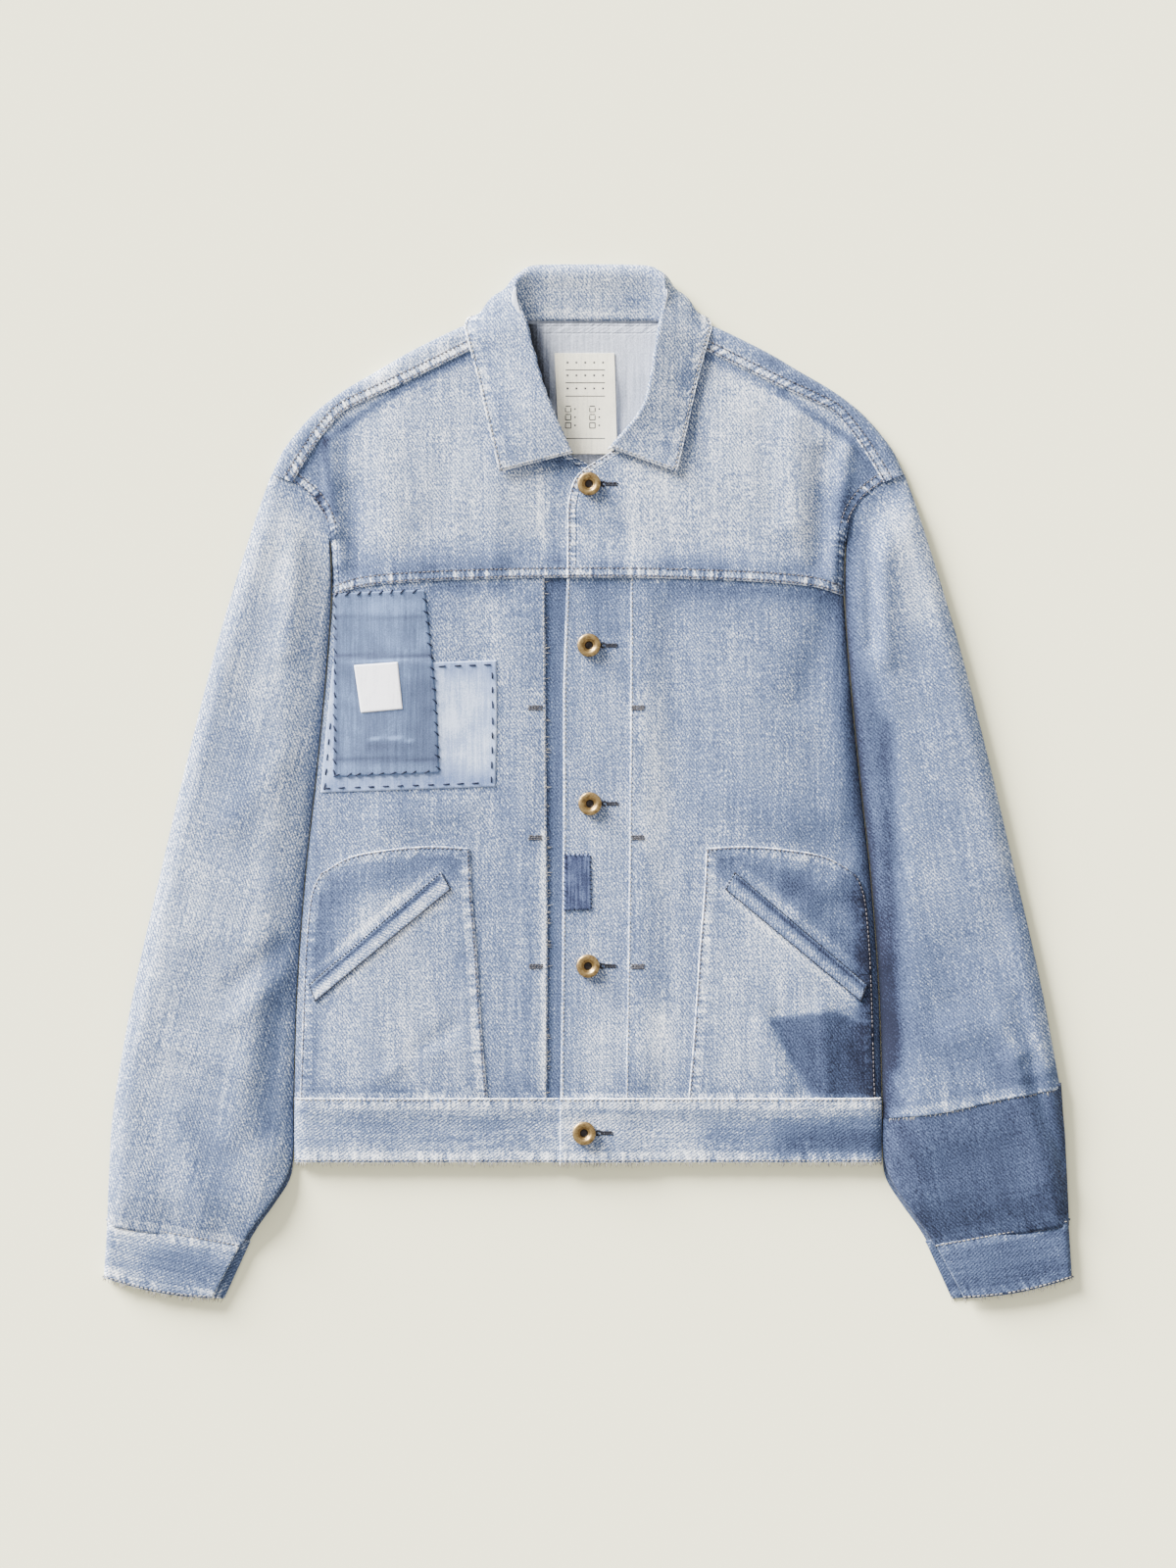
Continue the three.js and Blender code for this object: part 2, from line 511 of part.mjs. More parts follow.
// Buttons: a domed brass ring about a sunk middle, standing on the cloth
function makeButton() {
  const rim = buttonRadius;
  const profile = [[0, 0], [rim - 1, 0], [rim, 0.9], [rim, 2], [rim - 1.2, 3.2], [rim - 3, buttonRise],
    [rim - 4.8, 3.1], [2.4, 1.6], [0, 1.4]];
  const outline = profile.map((point) => new THREE.Vector2(...point));
  return new THREE.LatheGeometry(outline, 16).rotateX(Math.PI / 2);
}
buttonSpots.forEach(([x, y], k) => {
  const onWaist = y < waistY;
  const top = onWaist ? waistFrontZ + waistLap + doubled / 2 : frontZ + lapLift + denim / 2;
  const button = makeButton();
  button.translate(x, y, top + seamGap);
  add(`button_${k + 1}`, button, "brass", 1);
});

export default group;
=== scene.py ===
import math
import random
import bpy
import numpy as np
from mathutils import Matrix


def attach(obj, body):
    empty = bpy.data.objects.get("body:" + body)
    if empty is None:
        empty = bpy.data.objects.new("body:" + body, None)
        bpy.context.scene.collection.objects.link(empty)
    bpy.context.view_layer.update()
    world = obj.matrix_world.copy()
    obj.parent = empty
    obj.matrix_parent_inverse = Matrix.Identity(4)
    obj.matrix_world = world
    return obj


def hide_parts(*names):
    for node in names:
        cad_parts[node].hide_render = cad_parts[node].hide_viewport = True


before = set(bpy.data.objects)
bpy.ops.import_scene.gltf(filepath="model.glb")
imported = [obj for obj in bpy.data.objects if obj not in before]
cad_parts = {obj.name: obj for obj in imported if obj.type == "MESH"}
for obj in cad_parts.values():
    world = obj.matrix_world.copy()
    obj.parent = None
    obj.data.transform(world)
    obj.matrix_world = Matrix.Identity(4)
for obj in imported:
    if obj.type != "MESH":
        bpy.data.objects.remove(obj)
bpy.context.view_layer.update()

for item in bpy.context.selected_objects:
    item.select_set(False)
mm = 0.001
print("frame loaded:", len(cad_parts), "nodes")


# Lines and surfaces, all in millimetres.
def smoothLine(points, perSpan=24):  # Catmull-Rom through the points, dense
    p = np.array(points, float)
    if len(p) < 3:
        return np.array([p[0] + (p[-1] - p[0]) * t for t in np.linspace(0, 1, perSpan)])
    ends = np.vstack([2 * p[0] - p[1], p, 2 * p[-1] - p[-2]])
    dots = []
    for k in range(len(p) - 1):
        a, b, c, d = ends[k:k + 4]
        for t in np.linspace(0, 1, perSpan, endpoint=False):
            dots.append(0.5 * (2 * b + (c - a) * t + (2 * a - 5 * b + 4 * c - d) * t ** 2
                               + (3 * b - a - 3 * c + d) * t ** 3))
    return np.vstack([dots, p[-1]])


def runLength(line):
    return np.concatenate([[0], np.cumsum(np.linalg.norm(np.diff(line, axis=0), axis=1))])


def pointsAt(line, fractions):  # points at fractions of a dense line's length
    run = runLength(line)
    return np.stack([np.interp(np.asarray(fractions) * run[-1], run, line[:, k])
                     for k in range(line.shape[1])], -1)


def through(pairs):  # smooth value through (at, value) pairs
    line = smoothLine(sorted(pairs))
    return lambda at: np.interp(at, line[:, 0], line[:, 1])


def ease(start, end, at):
    t = np.clip((np.asarray(at, float) - start) / (end - start), 0, 1)
    return t * t * (3 - 2 * t)


def flipped(points):
    return [(-p[0],) + tuple(p[1:]) for p in points]


def nearLine(x, y, x0, y0, x1, y1):  # distance from a straight stroke
    dx, dy = x1 - x0, y1 - y0
    t = np.clip(((x - x0) * dx + (y - y0) * dy) / (dx * dx + dy * dy), 0, 1)
    return np.hypot(x - x0 - t * dx, y - y0 - t * dy)


def strokes(x, y, marks):  # sum of soft strokes: x0, y0, x1, y1, half width, amount
    total = np.zeros(np.shape(x))
    for x0, y0, x1, y1, width, amount in marks:
        total = total + amount * np.exp(-(nearLine(x, y, x0, y0, x1, y1) / width) ** 2)
    return total


fineHem = [0, 0.3, 0.75, 1.3, 2.0, 3.0]  # rows close to an edge, so that it can round over
rollWidth = 11.0  # how wide the cloth turns at a fold


def spacing(length, step, start, end, roll=rollWidth):  # fractions of a length, fine towards the named ends
    turn = [roll * (1 - math.cos(math.radians(a))) for a in (0, 12, 24, 37, 50, 63, 76, 90)]
    kinds = {"hem": fineHem, "roll": turn, "plain": [0]}
    low, high = kinds[start], [length - v for v in kinds[end]][::-1]
    middle = np.linspace(low[-1], high[0], max(2, int(round((high[0] - low[-1]) / step)) + 1))[1:-1]
    return np.concatenate([low, middle, high]) / length


def coons(bottom, top, left, right, us, vs):
    b, t, l, r = (smoothLine(edge) for edge in (bottom, top, left, right))
    b, t, l, r = pointsAt(b, us), pointsAt(t, us), pointsAt(l, vs), pointsAt(r, vs)
    u, v = us[None, :, None], vs[:, None, None]
    corners = ((1 - u) * (1 - v) * b[0] + u * (1 - v) * b[-1] + (1 - u) * v * t[0] + u * v * t[-1])
    return (1 - v) * b[None] + v * t[None] + (1 - u) * l[:, None] + u * r[:, None] - corners


def distances(grid):  # how far each point lies from the four edges, along the cloth
    across = np.linalg.norm(np.diff(grid, axis=1), axis=2)
    up = np.linalg.norm(np.diff(grid, axis=0), axis=2)
    left = np.concatenate([np.zeros((len(grid), 1)), np.cumsum(across, 1)], 1)
    bottom = np.concatenate([np.zeros((1, grid.shape[1])), np.cumsum(up, 0)], 0)
    return {"left": left, "right": left[:, -1:] - left, "bottom": bottom, "top": bottom[-1:] - bottom}


def normalsOf(grid):
    along = np.gradient(grid, axis=1)
    up = np.gradient(grid, axis=0)
    n = np.cross(along, up)
    return n / np.maximum(np.linalg.norm(n, axis=2, keepdims=True), 1e-9)


def rounded(distance, radius):  # how far the surface has dropped this close to a rounded edge
    t = 1 - np.clip(distance / radius, 0, 1)
    return radius * (1 - np.sqrt(np.clip(1 - t * t, 0, 1)))


def rolled(distance, width):  # 0 at a fold's outermost line, 1 where the cloth lies flat
    t = 1 - np.clip(distance / width, 0, 1)
    return np.sqrt(np.clip(1 - t * t, 0, 1))


def newObject(name, verts, faces, material, smooth=True):
    mesh = bpy.data.meshes.new(name)
    mesh.from_pydata([tuple(v) for v in np.asarray(verts) * mm], [], faces)
    mesh.materials.append(material)
    mesh.polygons.foreach_set("use_smooth", [smooth] * len(mesh.polygons))
    item = bpy.data.objects.new(name, mesh)
    bpy.context.collection.objects.link(item)
    return item


def setValues(item, name, values):
    values = np.asarray(values, np.float32)
    kind = "FLOAT" if values.ndim == 1 else "FLOAT_VECTOR"
    layer = item.data.attributes.new(name, kind, "POINT")
    layer.data.foreach_set("value" if values.ndim == 1 else "vector", values.ravel())


pieces = {}
clothDefaults = {"thick": 1.2, "grain": 0.0, "tone": 0.75, "seams": (), "rims": (), "marks": (), "edges": {},
                 "lies": (), "wear": 1.0, "mask": None, "rows": {}, "sewn": 0, "inner": 1.0,
                 "stain": (), "stainTone": 0.0}


# closed wall inward from an outer surface: points, faces and which points are used
def wallOf(grid, thick, keep):
    rows, columns = grid.shape[:2]
    count = rows * columns
    inside = grid - normalsOf(grid) * thick
    points = np.concatenate([grid.reshape(-1, 3), inside.reshape(-1, 3)])
    number = np.arange(count).reshape(rows, columns)
    cells = np.stack([number[:-1, :-1], number[:-1, 1:], number[1:, 1:], number[1:, :-1]], -1)[keep].tolist()
    edges = {(cell[k], cell[(k + 1) % 4]) for cell in cells for k in range(4)}
    faces = cells + [[q + count for q in cell[::-1]] for cell in cells]
    faces += [[p + count, q + count, q, p] for p, q in sorted(edges) if (q, p) not in edges]
    used = np.zeros(2 * count, bool)
    used[np.unique(np.concatenate([np.ravel(face) for face in faces]))] = True
    renumber = np.cumsum(used) - 1
    return points[used], [[int(renumber[q]) for q in face] for face in faces], used


def stained(x, y, outline):  # 1 inside a convex outline, soft at its border
    inside = np.full(np.shape(x), 99.0)
    for (x0, y0), (x1, y1) in zip(outline, outline[1:] + outline[:1]):
        along = math.hypot(x1 - x0, y1 - y0)
        inside = np.minimum(inside, ((x1 - x0) * (y - y0) - (y1 - y0) * (x - x0)) / along)
    return ease(-1.5, 2.5, inside) * (0.75 + 0.25 * ease(2, 30, inside))


def seamFields(grid, gap, look):  # distance to the nearest seam, place along it, and distance to a worn edge
    seam, rim = np.full(grid.shape[:2], 60.0), np.full(grid.shape[:2], 60.0)
    run = np.zeros(grid.shape[:2])
    for side in look["seams"]:
        closer = gap[side] < seam
        run = np.where(closer, gap["bottom" if side in ("left", "right") else "left"] + 37.0 * len(side), run)
        seam = np.where(closer, gap[side], seam)
    for side in look["rims"]:
        rim = np.minimum(rim, gap[side])
    return seam, run, rim


def clothPiece(look, grid):
    look = {**clothDefaults, **look}
    keep = np.ones((len(grid) - 1, grid.shape[1] - 1), bool) if look["mask"] is None else look["mask"]
    points, faces, used = wallOf(grid, look["thick"], keep)
    item = newObject(look["name"], points, faces, look["cloth"])
    gap = distances(grid)
    x, y = grid[..., 0], grid[..., 1]
    seam, run, rim = seamFields(grid, gap, look)
    # the marks hold wear, fading and uneven tone, and in places painted shade in folds and grooves and
    # painted light where the cloth turns away from the lamp
    tone = look["tone"] + strokes(x, y, look["marks"])
    if look["stain"]:
        tone = tone + look["stainTone"] * stained(x, y, look["stain"])
    # painted shade: the edge terms darken the cloth towards the named edges, where it rolls away from the
    # light or lies in the shadowed groove between body and sleeve
    for side, (width, amount) in look["edges"].items():
        tone = tone + amount * np.exp(-gap[side] / width)
    fields = {"tone": tone, "seam": seam, "run": run, "rim": rim, "wear": np.full(x.shape, look["wear"]),
              "sewn": np.full(x.shape, float(look["sewn"]))}
    for key, values in fields.items():
        setValues(item, key, np.concatenate([values.ravel()] * 2)[used])
    setValues(item, "inside", np.repeat([0.0, look["inner"]], x.size)[used])
    c, s = math.cos(math.radians(look["grain"])), math.sin(math.radians(look["grain"]))
    warp = np.stack([x * c + y * s, y * c - x * s, grid[..., 2]], -1).reshape(-1, 3)
    setValues(item, "grain", np.concatenate([warp, warp])[used])

    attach(item, "root")
    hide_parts(look["node"])
    middle = grid - normalsOf(grid) * look["thick"] / 2
    size = distances(middle)
    cell = np.linalg.norm(np.cross(middle[1:, 1:] - middle[:-1, :-1], middle[1:, :-1] - middle[:-1, 1:]),
                          axis=2) / 2
    area, length = float(cell[keep].sum()), float(size["bottom"].max())
    width = max(float(size["left"].max()), area / length)
    pieces[look["name"]] = {"grid": grid, "gap": gap, "normal": normalsOf(grid), "object": item}
    for side, rows in look["rows"].items():
        for distance in rows:
            stitchRows.append((look["name"], side, distance))
    return item


stitchRows = []  # stitch rows to sew once every piece lies in place: piece, edge, distance from it


# Finishes.
def linear(r, g, b):  # from everyday 0-255 colour values
    return tuple((v / 12.92 if v <= 0.04045 else ((v + 0.055) / 1.055) ** 2.4)
                 for v in (r / 255, g / 255, b / 255)) + (1,)


class Nodes:  # short hand for wiring a material
    def __init__(self, name, roughness, metallic=0.0, **sockets):
        self.material = bpy.data.materials.new(name)
        self.material.use_nodes = True
        self.tree = self.material.node_tree
        self.shader = self.tree.nodes["Principled BSDF"]
        self.shader.inputs["Roughness"].default_value = roughness
        self.shader.inputs["Metallic"].default_value = metallic
        for key, value in sockets.items():
            self.shader.inputs[key.replace("_", " ")].default_value = value

    def put(self, socket, value):
        if isinstance(value, bpy.types.NodeSocket):
            self.tree.links.new(value, socket)
        elif value is not None:
            socket.default_value = value

    def math(self, operation, a, b=None, c=None, clamp=False):
        node = self.tree.nodes.new("ShaderNodeMath")
        node.operation, node.use_clamp = operation, clamp
        for socket, value in zip(node.inputs, (a, b, c)):
            self.put(socket, value)
        return node.outputs[0]

    def value(self, name):
        node = self.tree.nodes.new("ShaderNodeAttribute")
        node.attribute_name = name
        return node.outputs["Fac"]

    def vector(self, name):
        node = self.tree.nodes.new("ShaderNodeAttribute")
        node.attribute_name = name
        return node.outputs["Vector"]

    def scaled(self, vector, scale):
        node = self.tree.nodes.new("ShaderNodeVectorMath")
        node.operation = "MULTIPLY"
        self.put(node.inputs[0], vector)
        self.put(node.inputs[1], scale)
        return node.outputs[0]

    def dot(self, vector, direction):
        node = self.tree.nodes.new("ShaderNodeVectorMath")
        node.operation = "DOT_PRODUCT"
        self.put(node.inputs[0], vector)
        self.put(node.inputs[1], direction)
        return node.outputs["Value"]

    def pack(self, x, y, z=0.0):
        node = self.tree.nodes.new("ShaderNodeCombineXYZ")
        for socket, value in zip(node.inputs, (x, y, z)):
            self.put(socket, value)
        return node.outputs[0]

    def noise(self, vector, scale=1.0, detail=2.0, roughness=0.5, distortion=0.0):
        node = self.tree.nodes.new("ShaderNodeTexNoise")
        self.put(node.inputs["Vector"], vector)
        for key, value in (("Scale", scale), ("Detail", detail), ("Roughness", roughness),
                           ("Distortion", distortion)):
            node.inputs[key].default_value = value
        return node.outputs["Fac"]

    def smooth(self, value, start, end, low=0.0, high=1.0):
        node = self.tree.nodes.new("ShaderNodeMapRange")
        node.interpolation_type = "SMOOTHSTEP"
        for key, number in (("Value", value), ("From Min", start), ("From Max", end), ("To Min", low),
                            ("To Max", high)):
            self.put(node.inputs[key], number)
        return node.outputs[0]

    def ramp(self, value, stops):
        node = self.tree.nodes.new("ShaderNodeValToRGB")
        elements = node.color_ramp.elements
        while len(elements) < len(stops):
            elements.new(0.5)
        for element, (at, colour) in zip(elements, stops):
            element.position, element.color = at, linear(*colour)
        self.put(node.inputs[0], value)
        return node.outputs["Color"]

    def blend(self, amount, a, b):
        node = self.tree.nodes.new("ShaderNodeMix")
        node.data_type = "RGBA"
        self.put(node.inputs["Factor"], amount)
        self.put(node.inputs[6], a)
        self.put(node.inputs[7], b)
        return node.outputs[2]

    def bump(self, height, depth, strength=1.0):
        node = self.tree.nodes.new("ShaderNodeBump")
        node.inputs["Distance"].default_value = depth
        node.inputs["Strength"].default_value = strength
        self.put(node.inputs["Height"], height)
        self.put(self.shader.inputs["Normal"], node.outputs[0])

    def done(self, colour, roughness=None):
        self.put(self.shader.inputs["Base Color"], colour)
        self.put(self.shader.inputs["Roughness"], roughness)
        return self.material


denimLook = {  # a tone is the brightness that flat, fully lit cloth shows, from 0 to 1
    "dark": (19, 23, 41), "rise": (142, 167, 196), "bleach": (1290, 1090, 730), "bend": 0.65, "power": 1.7,
    # the darkest inside stop is there for painted shadow on the inside face, as inside the neck under the
    # collar leaf
    "inside": [(0.0, (52, 54, 60)), (0.3, (112, 117, 132)), (0.65, (176, 181, 194)), (1.0, (222, 226, 238))],
    "twillPeriod": 2.0, "twill": 0.06, "speckle": 1.12, "slub": 0.22, "cloud": 0.19, "level": -0.026,
    "pucker": 0.62, "puckerReach": 12.0, "ladder": 1.0, "seamDark": 0.07, "stitchSink": 0.18, "rim": 0.16,
    "roughness": 0.92,
}


# Indigo gets lighter evenly up to the bend, and bleaches out faster after it.
def fadedStops(look):
    stops = []
    for tone in np.linspace(0.2, 0.92, 16):
        past = max(0.0, tone - look["bend"]) ** look["power"]
        parts = zip(look["dark"], look["rise"], look["bleach"])
        stops.append((float(tone), [min(254.0, low + rise * (tone - 0.2) + bleach * past)
                                    for low, rise, bleach in parts]))
    return stops


def makeDenim(name, look):
    n = Nodes(name, look["roughness"], Sheen_Weight=0.05, Specular_IOR_Level=0.2)
    grain = n.vector("grain")
    seam, run, rim, sewn = (n.value(key) for key in ("seam", "run", "rim", "sewn"))
    wear = n.value("wear")
    pitch = 2 * math.pi / look["twillPeriod"]
    wobble = n.math("MULTIPLY", n.noise(n.scaled(grain, (0.12, 0.05, 0.05))), 5.0)
    twill = n.math("SINE", n.math("ADD", n.dot(grain, (0.82 * pitch, 0.57 * pitch, 0.0)), wobble))
    speckle = n.math("SUBTRACT", n.noise(n.scaled(grain, (1.0, 0.7, 0.7)), detail=3.0, roughness=0.8), 0.5)
    slub = n.math("SUBTRACT", n.noise(n.scaled(grain, (0.55, 0.022, 0.022)), detail=2.0), 0.5)
    cross = n.math("SUBTRACT", n.noise(n.scaled(grain, (0.03, 0.6, 0.6)), detail=1.0), 0.5)
    cloud = n.math("SUBTRACT", n.noise(n.scaled(grain, (0.03, 0.014, 0.014)), detail=5.0, roughness=0.65),
                   0.5)
    near = n.math("MULTIPLY", n.math("POWER", 2.718, n.math("DIVIDE", seam, -look["puckerReach"])), wear)
    along = n.pack(n.math("MULTIPLY_ADD", seam, 0.04, n.math("MULTIPLY", run, 0.13)),
                   n.math("MULTIPLY", seam, 0.05), 3.0)
    pucker = n.math("MULTIPLY", n.math("SUBTRACT", n.noise(along, detail=3.0, roughness=0.6), 0.5), near)
    flatSeam = n.math("MULTIPLY", n.smooth(seam, 7.0, 9.5, 1.0, 0.0), n.smooth(sewn, 0.5, 1.5))
    rungs = n.noise(n.pack(n.math("MULTIPLY", run, 0.27), 0.0, 7.0), detail=1.0)
    ladder = n.math("MULTIPLY", n.math("SUBTRACT", rungs, 0.48), flatSeam)
    beyond = n.math("MULTIPLY", n.smooth(seam, 7.5, 10.0), near)
    sunk = []
    for at, least in ((2.0, 0.2), (7.4, 1.2)):  # the first and second row of stitches
        far = n.math("ABSOLUTE", n.math("SUBTRACT", seam, at))
        sunk.append(n.math("MULTIPLY", n.smooth(far, 0.2, 0.9, 1.0, 0.0), n.smooth(sewn, least, least + 0.6)))
    rows = n.math("ADD", *sunk)
    tone = n.math("MULTIPLY_ADD", twill, look["twill"], n.math("ADD", n.value("tone"), look["level"]))
    for key, value in (("speckle", speckle), ("slub", slub), ("cloud", cloud), ("pucker", pucker),
                       ("ladder", ladder)):
        tone = n.math("MULTIPLY_ADD", value, look[key], tone)
    tone = n.math("MULTIPLY_ADD", cross, look["slub"] * 0.5, tone)
    tone = n.math("MULTIPLY_ADD", beyond, -look["seamDark"] * 2.2, tone)
    tone = n.math("MULTIPLY_ADD", rows, -look["stitchSink"], tone)
    patchy = n.smooth(n.noise(n.scaled(grain, (0.09, 0.09, 0.09)), detail=3.0), 0.3, 0.62, 0.3, 1.0)
    worn = n.math("MULTIPLY", n.math("MULTIPLY", n.smooth(rim, 0.6, 1.7, 1.0, 0.0), patchy), wear)
    tone = n.math("MULTIPLY_ADD", worn, look["rim"], tone, clamp=True)
    fuzz = n.math("MULTIPLY_ADD", n.math("ADD", speckle, slub), 0.63, 0.685)
    # the inside face follows the tone marks as well, so that painted shadow darkens it
    fuzz = n.math("MULTIPLY_ADD", n.math("SUBTRACT", n.value("tone"), 0.76), 1.6, fuzz, clamp=True)
    height = n.math("MULTIPLY_ADD", twill, 0.05, n.math("MULTIPLY", speckle, 0.5))
    height = n.math("MULTIPLY_ADD", ladder, 0.9, n.math("MULTIPLY_ADD", rows, -0.35, height))
    n.bump(n.math("MULTIPLY_ADD", pucker, 1.6, height), mm)
    return n.done(n.blend(n.value("inside"), n.ramp(tone, fadedStops(look)), n.ramp(fuzz, look["inside"])))


plainLook = {"lightPatch": [(0.60, (72, 90, 132)), (0.70, (100, 118, 156)), (0.80, (143, 160, 194)),
                            (0.86, (193, 205, 228))],
             "bluePatch": [(0.38, (44, 50, 72)), (0.50, (60, 69, 92)), (0.62, (80, 95, 124)),
                           (0.74, (112, 134, 172))],
             "indigoPatch": [(0.22, (24, 28, 48)), (0.42, (50, 58, 86)), (0.66, (92, 106, 140))],
             "labelWhite": [(0.80, (176, 172, 184)), (0.90, (252, 250, 253))],
             "labelCream": [(0.80, (178, 174, 163)), (0.90, (250, 243, 220))]}


def makePlainCloth(name, stops, weave, mottle):  # thin plain weave
    n = Nodes(name, 0.9, Sheen_Weight=0.05, Specular_IOR_Level=0.2)
    grain = n.vector("grain")
    pitch = 2 * math.pi / weave
    warp, weft = (n.math("SINE", n.dot(grain, axis)) for axis in ((pitch, 0, 0), (0, pitch, 0)))
    check = n.math("MULTIPLY", warp, weft)
    speck = n.math("SUBTRACT", n.noise(n.scaled(grain, (1.1, 1.1, 1.1)), detail=3.0), 0.5)
    streak = n.math("SUBTRACT", n.noise(n.scaled(grain, (0.7, 0.03, 0.03)), detail=2.0), 0.5)
    worn = n.math("SUBTRACT", n.noise(n.scaled(grain, (0.06, 0.06, 0.06)), detail=4.0), 0.5)
    tone = n.math("MULTIPLY_ADD", n.math("ADD", speck, streak), mottle, n.value("tone"))
    tone = n.math("MULTIPLY_ADD", worn, mottle * 0.9, tone)
    tone = n.math("MULTIPLY_ADD", n.smooth(n.value("rim"), 0.4, 1.6, 1.0, 0.0), mottle * 0.5, tone,
                  clamp=True)
    n.bump(n.math("MULTIPLY_ADD", check, 0.05, n.math("MULTIPLY", speck, 0.2)), mm)
    return n.done(n.ramp(tone, stops))


def makeThread(name, light, dark):
    n = Nodes(name, 0.75, Specular_IOR_Level=0.3)
    place = n.tree.nodes.new("ShaderNodeTexCoord").outputs["Object"]
    return n.done(n.ramp(n.noise(n.scaled(place, (180, 180, 180)), detail=2.0), [(0.3, dark), (0.7, light)]))


brassLook = {"ring": [(0.3, (92, 72, 46)), (0.5, (150, 124, 82)), (0.72, (196, 168, 116))],
             "hollow": [(0.3, (18, 14, 14)), (0.5, (34, 26, 24)), (0.72, (56, 42, 36))]}


def makeBrass(name, stops, metallic):
    n = Nodes(name, 0.38, metallic=metallic)
    place = n.tree.nodes.new("ShaderNodeTexCoord").outputs["Object"]
    patina = n.noise(n.scaled(place, (420, 420, 420)), detail=4.0, roughness=0.65)
    fine = n.noise(n.scaled(place, (1900, 1900, 1900)), detail=2.0)
    n.bump(n.math("MULTIPLY_ADD", fine, 0.5, patina), 0.12 * mm)
    return n.done(n.ramp(patina, stops), n.smooth(patina, 0.3, 0.7, 0.55, 0.3))


denim = makeDenim("washedDenim", denimLook)
lightCloth = makePlainCloth("palePatchCloth", plainLook["lightPatch"], 0.7, 0.16)
blueCloth = makePlainCloth("midBluePatchCloth", plainLook["bluePatch"], 0.7, 0.22)
indigoCloth = makePlainCloth("indigoPatchCloth", plainLook["indigoPatch"], 0.8, 0.55)
whiteLabel = makePlainCloth("whiteLabelCloth", plainLook["labelWhite"], 0.6, 0.08)
creamLabel = makePlainCloth("creamLabelCloth", plainLook["labelCream"], 0.6, 0.08)
ecruThread = makeThread("ecruThread", (190, 184, 172), (116, 114, 116))
dustyThread = makeThread("dustyThread", (122, 116, 116), (70, 68, 76))
blueThread = makeThread("indigoThread", (36, 42, 66), (16, 18, 34))
greyThread = makeThread("greyThread", (84, 80, 80), (50, 50, 56))
darkThread = makeThread("buttonholeThread", (44, 44, 52), (20, 20, 26))
printInk = makeThread("paleInk", (62, 62, 66), (44, 44, 48))
brass = makeBrass("agedBrass", brassLook["ring"], 1.0)
# the hollow in each button's middle is coloured near black
brassHollow = makeBrass("darkMiddleBrass", brassLook["hollow"], 0.4)
print("finishes made")


# The laid jacket: outlines for the wearer's left half, mirrored where both sides match.
frontTop = 6.2   # upper face of the front where one layer lies on the back
foldMiddle = 3.1  # height at which the folds turn
shape = {
    "sideFold": [(215.5, -278.5), (215.5, -231), (213, -150), (207, -68), (199.5, 0), (192.5, 70),
                 (187.5, 136), (188.2, 165), (190, 184)],
    "chestSeam": [(-40, 150), (31, 149.8), (72, 149), (115, 147.4), (144, 145.6), (160, 144), (172, 141.8),
                  (188, 136.5)],
    "armhole": [(190, 184), (192.6, 194), (196, 200.5), (202, 208.5), (209, 214.5), (216.5, 220),
                (224, 223), (232, 226)],
    "shoulderFold": [(66, 341), (88, 336.5), (129, 317), (154, 302.4), (178.6, 288), (198, 273.6),
                     (212, 259), (224, 243), (232, 226)],
    "shoulderSeam": [(66, 327), (88, 316), (115, 302.4), (144, 288.3), (165, 279), (180, 271), (194.4, 254.5),
                     (207, 236), (216.5, 220)],
    "neckline": [(14, 240.5), (36, 256), (49, 277), (59, 300), (64, 316), (66, 327)],
    "sleeveOuter": [(352.6, -321), (350.8, -281), (347.5, -237), (332.6, -151), (313, -65), (292.5, 21.6),
                    (270, 108), (243.5, 194), (232.4, 226)],
    "sleeveInner": [(216.9, -280), (216.9, -231), (214.5, -150), (208.5, -68), (201.1, 0), (194.4, 70),
                    (189.7, 136), (190.4, 178)],
}
sideAt = through([(y, x) for x, y in shape["sideFold"]])
chestAt = through(shape["chestSeam"])
innerAt = through([(y, x) for x, y in shape["sleeveInner"]])
outerAt = through([(y, x) for x, y in shape["sleeveOuter"]])
bandEdgeAt = through([(-284, -20.5), (-231, -20.2), (-93, -18.7), (-10, -18.2), (70, -18), (150, -15.4),
                      (215, -14.6)])
leftPleatAt = through([(-240, 27.4), (-109, 29.5), (-33, 30.3), (60, 31), (160, 31)])
rightPleatAt = through([(-240, 30.2), (-109, 29.5), (-33, 30.2), (60, 31), (160, 31.7)])




def bodyRelief(x, y):  # how far the front stands over its plain level
    swell = 4.2 * ease(-4, 62, sideAt(y) - np.abs(x)) * ease(-300, -190, y) * ease(330, 210, y)
    swell = swell - 1.8 * (1 - ease(20, 70, np.abs(x))) * ease(-300, -190, y) * ease(330, 210, y)
    creases = strokes(x, y, [
        (190, 246, 180, 150, 6, 2.6), (172, 240, 168, 160, 7, -2.6), (150, 266, 152, 190, 10, 1.6),
        (128, 262, 134, 200, 10, -0.9), (180, 128, 156, 60, 12, -1.5), (190, 60, 182, -20, 12, 1.2),
        (110, 60, 128, -20, 26, 1.0), (66, 320, 84, 236, 12, -1.2), (-190, 250, -184, 160, 6, 2.2),
        (-174, 214, -170, 156, 8, -1.9), (-150, 250, -144, 180, 13, 1.2), (-100, 250, -112, 190, 12, -0.7),
        (-60, 110, -52, -30, 16, 0.8), (66, 120, 60, -20, 18, -0.9), (95, -10, 150, -34, 10, 0.9),
        (-70, 235, -66, 165, 10, 0.8), (-150, -30, -90, -18, 12, 0.9), (150, -100, 196, -60, 9, 0.8),
        (-130, -205, -100, -180, 7, -1.3), (-150, -214, -112, -196, 6, 1.0),
        (138, -170, 160, -226, 5, -1.4), (126, -180, 146, -226, 5, 1.0), (172, -165, 176, -226, 6, 1.2),
        (190, -176, 206, -214, 5, -1.0)])
    return swell + creases


